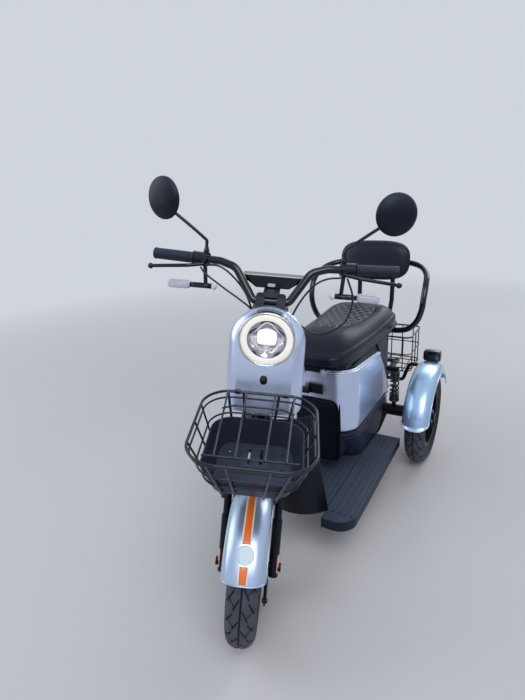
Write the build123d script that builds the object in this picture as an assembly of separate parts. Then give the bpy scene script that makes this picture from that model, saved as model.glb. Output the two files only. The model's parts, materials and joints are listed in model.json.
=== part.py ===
"""Electric three-wheeled scooter with one front wheel, two rear wheels, a seat and two baskets.

Millimetres, +Z up, front towards -Y, rider's left at +X.  The origin is on the floor under the
straight-ahead front axle.  The steering group is modelled straight ahead and then turned by
STEER_TURN about the raked steering axis, as it is parked.
"""
from build123d import *
from math import atan2, cos, radians, sin, tan
import os

# Clearances
SEAT_GAP = 0.3           # between a piece and what carries it
RUN_FIT = 0.05           # radial, between a pin and its bore
BRAKE_GAP = 0.8          # between a turning drum and its fixed plate

# Wheels
WHEELBASE = 1114.0
REAR_HALF_TRACK = 265.0
TYRE_R = 210.0
TYRE_W = 85.0
TREAD_HALF_W = 30.0
TREAD_DROP = 9.0
BEAD_R = 127.0
BEAD_HALF_W = 29.0
BEAD_BULGE = 5.0         # the tyre's wall stands out from the flange by this much
FLANGE_H = 9.0
FLANGE_T = 3.2
RIM_WALL = 7.0
HUB_R = 30.0
HUB_HALF_W = 38.0
DRUM_R = 56.0
SPOKES = 10
SPOKE_HALF = (9.0, 6.0)
FRONT_AXLE_R = 6.0
REAR_AXLE_R = 10.0

# Steering axis and fork
RAKE = 16.1
STEER_TURN = 25.6
AXLE_OFFSET = 30.0
STEERER_R = 15.0
STEERER_TOP_Z = 899.0
LEG_X = 73.0
LEG_R = 14.0
LEG_FOOT = 26.0          # the legs reach this far below the axle
KNEE_Z = TYRE_R + 135.0  # where the stanchions go into the legs
STANCHION_R = 11.0
CROWN_Z = TYRE_R + 258.0
CROWN_T = 14.0
CROWN_HALF_D = 19.0
HEAD_TUBE_Z = (CROWN_Z + 22.0, CROWN_Z + 130.0)
HEAD_TUBE_R = 22.0
BRAKE_ARM_X = 56.0

# Front mudguard
GUARD_R = 241.0
GUARD_W = 112.0
GUARD_T = 3.0
GUARD_SKIRT = 42.0
GUARD_CORNER = 26.0
GUARD_DEG = (10.0, 147.0)
GUARD_BOSS = (206.0, 8.0)    # height above the axle, radius

# Head cowl and headlight
COWL_TOP_Z = 926.0
COWL_ARCH_R = 107.0
COWL_BOTTOM_HALF_W = 112.0
COWL_PANEL_HALF_W = 72.0
COWL_WALL = 3.0
COWL_FRONT = ((118.0, 640.0), (152.0, 780.0), (186.0, 926.0))
COWL_SPLIT_LINE = ((200.0, 640.0), (209.0, 926.0))
COWL_BACK = 42.0
COWL_REAR_Z = 664.0
COWL_BACK_TOP_Z = 884.0
LAMP_Z = 843.0
LAMP_FACE_Y = 150.0
LAMP_R = 77.0
LAMP_DEPTH = 40.0
LENS_R = 53.0
LENS_Y = (LAMP_FACE_Y + 6.0, LAMP_FACE_Y + 12.0)

# Handlebar and what it carries
BAR_R = 11.1
BAR_CENTRE = (228.0, 929.0)
BAR_RISE = ((50.0, 228.0, 929.0), (104.0, 258.0, 1010.0), (150.0, 272.8, 1021.0))
BAR_BENDS = [40, 40, 16, 16, 40, 40]
GRIP_END = (346.0, 312.0, 1021.0)
GRIP_LENGTH = 124.0
GRIP_R = 15.5
CLAMP_X = 29.0
LEVER_ROOT = (196.0, 262.0, 1011.0)
LEVER_TIP = (347.0, 262.0, 994.0)
MIRROR_CENTRE = (315.0, 284.0, 1178.0)
MIRROR_R = 57.0
MIRROR_T = 12.0
MIRROR_FOOT = (192.0, 281.0, 1040.3)
MIRROR_FACING = {"right": -31.0, "left": 12.0}
SIGNAL_Y = 298.0
SIGNAL_Z = 940.0
SIGNAL_PARTS = ((172.0, 300.0, 9.0), (262.0, 307.0, 14.0), (166.0, 178.0, 12.0))   # from x, to x, radius
DISPLAY_Y = (265.0, 305.0)
DISPLAY_Z = (956.0, 992.0)

# Front basket: half width, front, back, corner and height of the rim and of the base
BASKET_TILT = 4.0
BASKET_CLAMP_Z = HEAD_TUBE_Z[1] + 20.0
BASKET_RIM = (147.0, -224.0, 88.0, 76.0, BASKET_CLAMP_Z + 85.0)
BASKET_BASE = (104.0, -152.0, 56.0, 48.0, BASKET_CLAMP_Z - 56.0)
BASKET_RINGS = (0.88, 0.58, 0.3)                                       # shares of the depth
BASKET_FRONT_BARS = (48.0, 90.0)                                       # x at the rim
BASKET_SIDE_BARS = (-150.0, -68.0, 10.0)                               # y at the rim
WIRE_R = 2.5
RIM_WIRE_R = 3.5
LID_RISE = 7.0
LID_BARS = ((-78.0, -88.0), (-32.0, -38.0), (32.0, 38.0), (78.0, 88.0))  # x in front, x behind

# Floor, boards and leg shield
FLOOR_Z = 187.0
FLOOR_T = 5.0
FLOOR_Y = (352.0, 745.0)
BOARD_IN = 112.0
BOARD_OUT = 214.0
BOARD_Y = (300.0, WHEELBASE - 205.0)
BOARD_T = 6.0
BOARD_DEPTH = 36.0
BOARD_CORNER = 62.0
BOARD_RIBS = (136.0, 157.0, 178.0, 199.0)
SHIELD_HALF_W = 118.0
SHIELD_BOW = 66.0
SHIELD_T = 4.0
SHIELD_FOOT_Y = 280.0
SHIELD_SLOPE = 0.285
SHIELD_TOP_Z = HEAD_TUBE_Z[1]

# Seat and pedestal
SEAT_BASE_Z = 627.0
SEAT_TOP_Z = 738.0
SEAT_Y = (500.0, WHEELBASE + 6.0)
PAN_T = 13.0
HINGE_Y = 511.0
HINGE_Z = 617.0
HINGE_PIN_R = 4.0
BODY_WALL = 3.0
BODY_REAR_Y = WHEELBASE - 80.0
BODY_SECTIONS = ((364.0, 546.0, BODY_REAR_Y, 130.0, 80.0),             # height, front, rear, half width, corner
                 (500.0, 540.0, BODY_REAR_Y, 134.0, 78.0),
                 (622.0, 526.0, BODY_REAR_Y - 14.0, 130.0, 72.0))
BODY_REAR_CUT = ((WHEELBASE - 104.0, 379.0), (WHEELBASE - 248.0, 576.0))
SKIRT_FOOT = (FLOOR_Z + SEAT_GAP, 690.0, WHEELBASE - 94.0, 108.0, 60.0)
BOX_X = 86.0
BOX_Y = (532.0, 640.0)
BOX_Z = (247.0, 505.0)

# Frame
DOWN_R = 17.0
RAIL_R = 13.0
RAIL_X = 62.0
RAIL_Z = FLOOR_Z - FLOOR_T - RAIL_R - SEAT_GAP
RAIL_BEND = 60.0
KICK_Y = (WHEELBASE - 129.0, WHEELBASE - 72.0)                         # where the rails turn up and back
KICK_Z = TYRE_R + 128.0
CROSS_R = 11.0
CROSS_INSET = 3.0        # cross rods end this far inside the rails' centre lines
CROSS_Y = (420.0, 820.0)
CROSS_Z = FLOOR_Z - BOARD_T - CROSS_R - SEAT_GAP
POST_R = 10.0
POST_X = 100.0
POST_Y = (770.0, KICK_Y[0])
SEAT_RAIL_Z = SEAT_BASE_Z - POST_R - SEAT_GAP
STAY_Y = WHEELBASE + 66.0
GUARD_STAY_Z = TYRE_R + 210.0
BATTERY_HALF_W = 88.0
BATTERY_TOP_Z = 430.0

# Rear axle, springs and mudguards
SHOCK_X = 134.0
SHOCK_Y = WHEELBASE - 14.0
SHOCK_TOP_Z = TYRE_R + 208.0
SHOCK_FOOT = 44.0        # height of its lower mount above the axle
COIL_R = 19.0
COIL_WIRE_R = 4.0
COIL_TURNS = 8
MOTOR_R = 74.0
ARM_R = 11.0
ARM_X = 97.0
REAR_GUARD_R = 244.0
REAR_GUARD_DEG = (24.0, 170.0)
REAR_GUARD_SKIRT = 46.0
REAR_GUARD_CORNER = 30.0
REAR_GUARD_W = 109.0
REAR_GUARD_X = REAR_HALF_TRACK + 5.0
LAMP_BLOCK_Y = (WHEELBASE + 72.0, WHEELBASE + 112.0)

# Backrest, armrests and rear basket
BACKREST = (WHEELBASE + 82.0, 881.0, 153.0, 166.0, 54.0)               # y, z, half width, height, thickness
BACKREST_TILT = 9.7
ARMREST_R = 10.0
ARMREST_BAR = (98.0, WHEELBASE + 126.0, 866.0)
REAR_WIRES = (3.0, 2.5, 4.0)                                           # radii from the base to the rim
REAR_BASKET = ((-165.0, 165.0), (WHEELBASE + 126.0, WHEELBASE + 326.0),
               (KICK_Z + RAIL_R + REAR_WIRES[0] + SEAT_GAP, 520.0))

RAKE_SIN, RAKE_COS, RAKE_TAN = sin(radians(RAKE)), cos(radians(RAKE)), tan(radians(RAKE))
SIDES = ((-1, "right"), (1, "left"))
nodes = {}


def axis_y(z):
    """Height on the steering axis to its place along the vehicle."""
    return AXLE_OFFSET / RAKE_COS + (z - TYRE_R) * RAKE_TAN


STEER_AXIS = Axis((0, axis_y(TYRE_R), TYRE_R), (0, RAKE_SIN, RAKE_COS))


def block(x, y, z):
    """Box from three (low, high) pairs."""
    size = [high - low for low, high in (x, y, z)]
    middle = [(high + low) / 2 for low, high in (x, y, z)]
    return Pos(*middle) * Box(*size)


def rod(start, end, radius, bore=0):
    """Round bar between two points, with an optional bore."""
    plane = Plane(origin=start, z_dir=Vector(*end) - Vector(*start))
    ring = Circle(radius) - Circle(bore) if bore else Circle(radius)
    return extrude(plane * ring, (Vector(*end) - Vector(*start)).length)


def bent(points, radius, bends):
    """Round tube along straight runs that tangent arcs join."""
    path = FilletPolyline(*points, radius=bends)
    return sweep(Plane(origin=path @ 0, z_dir=path % 0) * Circle(radius), path=path)


def flip(points, side):
    """The same points on the other side of the vehicle."""
    return [(side * x, y, z) for x, y, z in points]


def fuse(pieces):
    """One piece from many."""
    whole = pieces[0]
    for piece in pieces[1:]:
        whole = whole + piece
    return whole


def mirror_x(piece):
    """The same piece on the other side of the vehicle."""
    return mirror(piece, about=Plane.YZ)


def corner_run(radius, turn):
    """How far before its corner a bend of this radius and turn starts."""
    return radius * tan(turn / 2)


def steered(name, piece):
    """Keeps a piece of the steering group, to be turned later."""
    nodes[name] = piece
    steer_group.append(name)


steer_group = []


# Wheels

def tyre():
    """Closed ring: round crown, bulged sidewalls, square beads inside the rim flanges."""
    shoulder_r, wide_r = TYRE_R - TREAD_DROP, TYRE_R - 38
    seat = BEAD_R + SEAT_GAP
    lip = BEAD_R + FLANGE_H + 1.5
    foot = BEAD_HALF_W + BEAD_BULGE
    edges = [ThreePointArc((-TREAD_HALF_W, shoulder_r), (0, TYRE_R), (TREAD_HALF_W, shoulder_r))]
    for s in (1, -1):
        edges += [
            ThreePointArc((s * TREAD_HALF_W, shoulder_r), (s * TYRE_W / 2, wide_r), (s * foot, lip + 2)),
            Line((s * foot, lip + 2), (s * BEAD_HALF_W, lip)),
            Line((s * BEAD_HALF_W, lip), (s * BEAD_HALF_W, seat)),
        ]
    edges.append(Line((-BEAD_HALF_W, seat), (BEAD_HALF_W, seat)))
    return revolve(make_face(edges), Axis.X)


def rim(bore, drum_side):
    """Cast rim: barrel with two flanges, spokes, hub and brake drum on one side."""
    flange_in = BEAD_HALF_W + SEAT_GAP
    flange_out = flange_in + FLANGE_T
    inner = BEAD_R - RIM_WALL
    profile = Polyline(
        (-flange_out, inner), (-flange_out, BEAD_R + FLANGE_H), (-flange_in, BEAD_R + FLANGE_H),
        (-flange_in, BEAD_R), (flange_in, BEAD_R), (flange_in, BEAD_R + FLANGE_H),
        (flange_out, BEAD_R + FLANGE_H), (flange_out, inner), close=True)
    barrel = revolve(make_face(profile), Axis.X)
    hub = rod((-HUB_HALF_W, 0, 0), (HUB_HALF_W, 0, 0), HUB_R)
    drum = rod((drum_side * 8, 0, 0), (drum_side * HUB_HALF_W, 0, 0), DRUM_R)
    half_x, half_y = SPOKE_HALF
    spoke = block((-half_x, half_x), (-half_y, half_y), (HUB_R - 4, inner + 2))
    spokes = [Rot(360 / SPOKES * i, 0, 0) * spoke for i in range(SPOKES)]
    solid = fuse([barrel, hub, drum] + spokes)
    return solid - rod((-TYRE_W, 0, 0), (TYRE_W, 0, 0), bore)


steered("front_tyre", Pos(0, 0, TYRE_R) * tyre())
steered("front_rim", Pos(0, 0, TYRE_R) * rim(FRONT_AXLE_R + RUN_FIT, 1))
for side, word in SIDES:
    place = Pos(side * REAR_HALF_TRACK, WHEELBASE, TYRE_R)
    nodes["rear_tyre_" + word] = place * tyre()
    nodes["rear_rim_" + word] = place * rim(REAR_AXLE_R + RUN_FIT, -side)


# Fork, front brake and front mudguard

def fork_leg_y(z):
    """Place along the vehicle of the fork legs' centre line at a height."""
    return (z - TYRE_R) * RAKE_TAN


def fork():
    """Steerer, crown with its bridge, two stanchions in their legs, and the front axle."""
    steerer_foot, leg_top = CROWN_Z - 6, CROWN_Z + 10
    inner_face = HUB_HALF_W + SEAT_GAP
    crown_y, bridge_y = fork_leg_y(CROWN_Z), axis_y(CROWN_Z) + 26
    crown_z = (CROWN_Z - CROWN_T / 2, CROWN_Z + CROWN_T / 2)
    leg_foot = TYRE_R - LEG_FOOT
    pieces = [
        block((-LEG_X - 17, LEG_X + 17), (crown_y - CROWN_HALF_D, crown_y + CROWN_HALF_D), crown_z),
        block((-30, 30), (crown_y, bridge_y), crown_z),
        rod((0, axis_y(steerer_foot), steerer_foot), (0, axis_y(STEERER_TOP_Z), STEERER_TOP_Z), STEERER_R),
    ]
    for side, _ in SIDES:
        x = side * LEG_X
        pieces += [
            rod((x, fork_leg_y(leg_foot), leg_foot), (x, fork_leg_y(KNEE_Z), KNEE_Z), LEG_R),
            rod((x, fork_leg_y(KNEE_Z), KNEE_Z), (x, fork_leg_y(leg_top), leg_top), STANCHION_R),
            rod((side * inner_face, 0, TYRE_R), (side * (LEG_X - LEG_R + 4), 0, TYRE_R), 11),
            rod((side * (LEG_X + LEG_R - 4), 0, TYRE_R), (side * (LEG_X + LEG_R + 7), 0, TYRE_R), 12),
        ]
    pieces.append(rod((-LEG_X, 0, TYRE_R), (LEG_X, 0, TYRE_R), FRONT_AXLE_R))
    return fuse(pieces)


def front_brake():
    """Drum brake plate on the axle, its cam boss, lever arm and cable end."""
    plate_in = HUB_HALF_W + SEAT_GAP + BRAKE_GAP
    plate_out = plate_in + 6
    cam = (-14.0, TYRE_R - 36)
    arm_foot = (-24.0, TYRE_R - 108)
    plate = rod((plate_in, 0, TYRE_R), (plate_out, 0, TYRE_R), DRUM_R)
    plate -= rod((plate_in - 1, 0, TYRE_R), (plate_out + 1, 0, TYRE_R), 11 + SEAT_GAP)
    boss = rod((plate_out - 1, *cam), (BRAKE_ARM_X + 3, *cam), 8)
    arm = rod((BRAKE_ARM_X, *cam), (BRAKE_ARM_X, *arm_foot), 5)
    barrel = rod((BRAKE_ARM_X - 8, *arm_foot), (BRAKE_ARM_X + 8, *arm_foot), 7)
    pin = rod((BRAKE_ARM_X, *arm_foot), (BRAKE_ARM_X, arm_foot[0], arm_foot[1] - 18), 3)
    return fuse([plate, boss, arm, barrel, pin])


def arch(radius, width, skirt, corner, wall, rear_deg, front_deg):
    """Mudguard about the X axis: a rounded U section turned from the rear angle to the front one."""
    def section(inset):
        half, top, low = width / 2 - inset, radius - inset, radius - skirt
        line = FilletPolyline((-half, low), (-half, top), (half, top), (half, low),
                              radius=corner - inset)
        return make_face([line, Line((half, low), (-half, low))])
    face = section(0) - section(wall)
    return Rot(rear_deg, 0, 0) * revolve(face, Axis.X, revolution_arc=front_deg - rear_deg)


def front_mudguard():
    """Arched guard with a boss on each side that meets the fork legs."""
    guard = arch(GUARD_R, GUARD_W, GUARD_SKIRT, GUARD_CORNER, GUARD_T, *GUARD_DEG)
    guard = Pos(0, 0, TYRE_R) * guard
    boss_z = TYRE_R + GUARD_BOSS[0]
    for side, _ in SIDES:
        y = fork_leg_y(boss_z)
        guard += rod((side * (GUARD_W / 2 - 2), y, boss_z),
                     (side * (LEG_X - STANCHION_R - SEAT_GAP), y, boss_z), GUARD_BOSS[1])
    return guard


steered("fork", fork())
steered("front_brake", front_brake())
steered("front_mudguard", front_mudguard())


# Head cowl, its back cover and the headlight

def slab(profile, half_x):
    """Side view outline, as edges in (y, z), drawn out to both sides."""
    face = make_face(profile)
    return extrude(Plane.YZ * face, half_x, both=True)


def cowl_solid(inset):
    """Where the side outline, the arched front view and the bevelled plan meet."""
    front = [(y + inset, z) for y, z in COWL_FRONT]
    front[2] = (front[2][0], front[2][1] - inset)
    back_top = (axis_y(COWL_TOP_Z) + COWL_BACK - inset, COWL_TOP_Z - inset)
    back_low = (axis_y(COWL_REAR_Z) + COWL_BACK - inset, COWL_REAR_Z - 2 * inset)
    low = (front[0][0], front[0][1] - 2 * inset)
    side = slab([ThreePointArc(low, front[1], front[2]), Line(front[2], back_top),
                 Line(back_top, back_low), Line(back_low, low)], 130)
    half, top = COWL_ARCH_R - inset, COWL_TOP_Z - inset
    spring = COWL_TOP_Z - COWL_ARCH_R
    wide = COWL_BOTTOM_HALF_W - inset
    view = [Line((-wide, 600), (-half, spring)),
            ThreePointArc((-half, spring), (0, top), (half, spring)),
            Line((half, spring), (wide, 600)), Line((wide, 600), (-wide, 600))]
    arched = extrude(Plane.XZ * make_face(view), 400, both=True)
    left = [(COWL_PANEL_HALF_W - inset / 2, -90), (COWL_PANEL_HALF_W - inset / 2, -50 + inset),
            (130 - inset, 12), (104 - inset, 60)]
    right = [(-x, y) for x, y in reversed(left)]
    plan = Polyline(*left, *right, close=True)
    foot = Pos(0, axis_y(580), 580) * make_face(plan)
    bevelled = extrude(foot, 380, dir=(0, RAKE_SIN, RAKE_COS))
    return side & arched & bevelled


def ahead(line, front=-200):
    """Everything ahead of a line in (y, z)."""
    (y0, z0), (y1, z1) = line
    slope = (y1 - y0) / (z1 - z0)
    low, high = y0 + slope * (500 - z0), y0 + slope * (1000 - z0)
    return slab(Polyline((low, 500), (high, 1000), (front, 1000), (front, 500), close=True), 200)


def cowl_pieces():
    """Painted front with the lamp's hole, and the black back cover, split along a leaning line."""
    shell = cowl_solid(0) - cowl_solid(COWL_WALL)
    lamp_hole = rod((0, 60, LAMP_Z), (0, LAMP_FACE_Y + LAMP_DEPTH + 4, LAMP_Z), LAMP_R + SEAT_GAP)
    front = (shell & ahead(COWL_SPLIT_LINE)) - lamp_hole
    gap_line = [(y + SEAT_GAP, z) for y, z in COWL_SPLIT_LINE]
    back = shell - ahead(gap_line)
    back &= block((-200, 200), (0, 400), (COWL_REAR_Z, COWL_BACK_TOP_Z))
    return front, back


def headlight():
    """Ring shaped body, open behind and cut clear of the steerer, and its flat lens."""
    back = LAMP_FACE_Y + LAMP_DEPTH
    body = rod((0, LAMP_FACE_Y, LAMP_Z), (0, back, LAMP_Z), LAMP_R)
    body -= rod((0, LAMP_FACE_Y - 1, LAMP_Z), (0, LENS_Y[1], LAMP_Z), LENS_R + SEAT_GAP)
    body -= rod((0, LAMP_FACE_Y, LAMP_Z), (0, back + 1, LAMP_Z), LENS_R - 4)
    room = [(axis_y(z) - STEERER_R - 5, z) for z in (600, 1000)]
    body &= ahead(room)
    lens = rod((0, LENS_Y[0], LAMP_Z), (0, LENS_Y[1] - SEAT_GAP, LAMP_Z), LENS_R)
    return body, lens


cowl_front, cowl_back = cowl_pieces()
steered("head_cowl", cowl_front)
steered("cowl_back", cowl_back)
lamp_body, lamp_lens = headlight()
steered("headlight_body", lamp_body)
steered("headlight_lens", lamp_lens)


# Handlebar and what it carries

def handlebar():
    """One tube from grip to grip."""
    half = [*BAR_RISE, GRIP_END]
    return bent(flip(reversed(half), -1) + half, BAR_R, BAR_BENDS)


def grip_point(back):
    """Point on the bar's straight outer run, a distance in from its end."""
    end, inner = Vector(*GRIP_END), Vector(*BAR_RISE[2])
    return end + (inner - end).normalized() * back


def grip(side):
    """Ribbed sleeve with a flange at its inner end."""
    def spot(back):
        point = grip_point(back)
        return (side * point.X, point.Y, point.Z)
    bore = BAR_R + SEAT_GAP
    sleeve = rod(spot(-4), spot(GRIP_LENGTH), GRIP_R) - rod(spot(0), spot(GRIP_LENGTH + 1), bore)
    flange = rod(spot(GRIP_LENGTH - 5), spot(GRIP_LENGTH), GRIP_R + 5, bore)
    return sleeve + flange


def lever(side):
    """Brake lever with its perch and switch housing round the bar, drawn for the left hand."""
    housing = rod(grip_point(GRIP_LENGTH + 2), grip_point(GRIP_LENGTH + 40), 19)
    housing += rod(grip_point(GRIP_LENGTH + 28), LEVER_ROOT, 9)
    blade = bent([LEVER_ROOT, (240, 250, 1006), (300, 254, 1000), LEVER_TIP], 5, 30)
    piece = fuse([housing, blade, Pos(*LEVER_TIP) * Sphere(8)])
    piece -= rod(grip_point(GRIP_LENGTH + 60), grip_point(GRIP_LENGTH - 10), BAR_R + SEAT_GAP)
    return piece if side > 0 else mirror_x(piece)


def driving_mirror(side, facing):
    """Round head, flat glass towards the rider, on a bent stem."""
    x, y, z = MIRROR_CENTRE
    inward, drop = -side * MIRROR_R / 2, 26
    end = (side * x + inward * cos(radians(facing)), y + inward * sin(radians(facing)), z - drop)
    knee = (MIRROR_FOOT[0], MIRROR_FOOT[1], MIRROR_FOOT[2] + 36)
    stem = bent(flip([MIRROR_FOOT, knee], side) + [end], 4.5, 22)
    head = Rot(90, 0, 0) * Cylinder(MIRROR_R, MIRROR_T)
    head = fillet(head.edges().group_by(Axis.Y)[0], MIRROR_T - 2)
    head = Pos(side * x, y, z) * Rot(0, 0, facing) * head
    return stem + head


def turn_signal(side):
    """Stalk, lens body outboard and a small lamp inboard, hung from the switch housing."""
    x = side * LEVER_ROOT[0]
    pieces = [rod((side * x0, SIGNAL_Y, SIGNAL_Z), (side * x1, SIGNAL_Y, SIGNAL_Z), radius)
              for x0, x1, radius in SIGNAL_PARTS]
    hanger = rod((x, SIGNAL_Y - 2, SIGNAL_Z), (x, SIGNAL_Y - 14, 1002 - SEAT_GAP), 6)
    return fuse(pieces + [hanger])


def bar_clamp():
    """Top plate on the steerer, two riser blocks and a tongue for the display."""
    y, z = BAR_CENTRE
    low = STEERER_TOP_Z + STEERER_R * RAKE_SIN + SEAT_GAP
    plate = block((-50, 50), (y - 16, y + 24), (low, low + 7))
    cowl_rim = COWL_SPLIT_LINE[1][0] + SEAT_GAP
    blocks = [block((s * CLAMP_X - 12, s * CLAMP_X + 12), (cowl_rim, y + 16), (low + 6, z + 16))
              for s in (-1, 1)]
    tongue = block((-22, 22), (y - 10, DISPLAY_Y[1] - 6), (z + 3 + BAR_R, DISPLAY_Z[0] - SEAT_GAP))
    strap = block((-CLAMP_X - 8, CLAMP_X + 8), (y - 10, y + 12), (z + BAR_R + 2, z + BAR_R + 9))
    clamp = fuse([plate] + blocks + [strap, tongue])
    return clamp - rod((-90, y, z), (90, y, z), BAR_R + RUN_FIT)


def display():
    """Wedge seen from the front, wide at the top, its screen towards the rider."""
    (y0, y1), (z0, z1) = DISPLAY_Y, DISPLAY_Z
    half = [(46, z0), (88, z1 - 6), (84, z1)]
    face = make_face(Polyline(*half, *[(-x, z) for x, z in reversed(half)], close=True))
    body = Pos(0, y1, 0) * extrude(Plane.XZ * face, y1 - y0)
    return fillet(body.edges().filter_by(Axis.X), 3)


steered("handlebar", handlebar())
steered("bar_clamp", bar_clamp())
steered("display", display())
for side, word in SIDES:
    steered("grip_" + word, grip(side))
    steered("brake_lever_" + word, lever(side))
    steered("mirror_" + word, driving_mirror(side, MIRROR_FACING[word]))
    steered("turn_signal_" + word, turn_signal(side))


# Front basket

def basket_ring(share, out=0):
    """Half width, front, back, corner and height of the basket at a share of its depth."""
    low, high = BASKET_BASE, BASKET_RIM
    half, front, back, corner, z = [a + (b - a) * share for a, b in zip(low, high)]
    return half + out, front - out, back + out, corner + out, z


def ring_outline(share, out=0):
    """The basket's rounded outline at a share of its depth, as a face."""
    half, front, back, corner, z = basket_ring(share, out)
    flat = RectangleRounded(2 * half, back - front, corner)
    return Pos(0, (front + back) / 2, z) * flat


def ring_wire(share, radius):
    """A wire round the basket."""
    path = ring_outline(share).wire()
    plane = Plane(origin=path @ 0, z_dir=path % 0)
    return sweep(plane * Circle(radius), path=path)


def basket_tilted(piece):
    """Leans a basket piece back about the middle of its rim."""
    middle = (BASKET_RIM[1] + BASKET_RIM[2]) / 2
    return piece.rotate(Axis((0, middle, BASKET_RIM[4] - 3), (1, 0, 0)), BASKET_TILT)


def front_basket():
    """A rim wire, three rings below it, and bars in front, behind and at both sides."""
    wires = [ring_wire(1.0, RIM_WIRE_R)] + [ring_wire(share, WIRE_R) for share in BASKET_RINGS]
    half1, front1, back1, _, z1 = basket_ring(1.0)
    half0, front0, back0, _, z0 = basket_ring(0.02)
    depth_scale = (back0 - front0) / (back1 - front1)
    for s in (-1, 1):
        for x in BASKET_FRONT_BARS:
            x_low = x * half0 / half1
            for y, y_low in ((front1, front0), (back1, back0)):
                wires.append(rod((s * x, y, z1), (s * x_low, y_low, z0), WIRE_R + 1))
        for y in BASKET_SIDE_BARS:
            y_low = (front0 + back0) / 2 + (y - (front1 + back1) / 2) * depth_scale
            wires.append(rod((s * half1, y, z1), (s * half0, y_low, z0), WIRE_R))
    return fuse(wires)


def basket_tray():
    """Moulded tray inside the wires: floor with a raised plate and drain slots."""
    clear = WIRE_R + 1.6 + SEAT_GAP
    top = 0.52
    outer = loft([ring_outline(0.0, -clear), ring_outline(top, -clear)])
    wall = 3
    inner = loft([Pos(0, 0, wall + 1) * ring_outline(0.0, -clear - wall),
                  Pos(0, 0, 1) * ring_outline(top, -clear - wall)])
    tray = outer - inner
    z = BASKET_BASE[4]
    plate = block((-36, 36), (-60, 30), (z + 3, z + 12))
    slots = [block((x - 4, x + 4), (-45, 15), (z - 5, z + 20)) for x in (-16, 16)]
    drains = [Pos(x, y, z) * Cylinder(4, 30) for x in (-70, 70) for y in (-110, -50, 10)]
    return fuse([tray, plate]) - fuse(slots) - fuse(drains)


def basket_bracket():
    """Clamp round the steerer and two arms under the tray."""
    z = BASKET_CLAMP_Z
    clamp = rod((0, axis_y(z - 11), z - 11), (0, axis_y(z + 11), z + 11), STEERER_R + 9)
    low = BASKET_BASE[4] - 6 - SEAT_GAP
    arm = [(16, axis_y(z), z), (48, 96, z - 34), (62, 40, low - 4.5), (62, -128, low - 15)]
    arms = [bent(flip(arm, side), 6, [18, 22]) for side, _ in SIDES]
    bracket = fuse([clamp] + arms)
    return bracket - rod((0, axis_y(z - 60), z - 60), (0, axis_y(z + 60), z + 60), STEERER_R + RUN_FIT)


def basket_lid():
    """Four long bars, an arched cross bar, a front tie and two clips round the back rim wire."""
    half, front, back, _, z = basket_ring(1.0)
    bar_z = z + LID_RISE
    bars = [rod((x0, front + 22, bar_z), (x1, back - 10, bar_z), WIRE_R) for x0, x1 in LID_BARS]
    tie_z = bar_z - WIRE_R * 0.6
    ties = [rod((-half + 42, y, tie_z), (half - 42, y, tie_z), WIRE_R) for y in (front + 26, back - 14)]
    arch_y, arch_end, arch_top = -10, (90, bar_z - 0.6), (60, bar_z + 10)
    span = [(s * x, arch_y, height) for s, (x, height) in
            ((-1, arch_end), (-1, arch_top), (1, arch_top), (1, arch_end))]
    cross = bent(span, WIRE_R - 0.3, 20)
    clips = []
    for s in (-1, 1):
        x = s * 63
        clips.append(rod((x - 7, back, z), (x + 7, back, z), RIM_WIRE_R + 3.2))
        clips.append(block((x - 7, x + 7), (back - 16, back - 5), (z + 2, z + LID_RISE + 2.5)))
    lid = fuse(bars + ties + [cross] + clips)
    return lid - rod((-90, back, z), (90, back, z), RIM_WIRE_R + SEAT_GAP)


steered("front_basket", basket_tilted(front_basket()))
steered("basket_tray", basket_tilted(basket_tray()))
steered("basket_lid", basket_tilted(basket_lid()))
steered("basket_bracket", basket_bracket())


# Frame

def down_tube(radius):
    """Tube from the head tube down behind the shield to the front cross tube."""
    start = HEAD_TUBE_Z[1] - 23
    return bent([(0, axis_y(start), start), (0, 226, start - 39), (0, 352, 236), (0, 404, RAIL_Z)],
                radius, 60)


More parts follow.
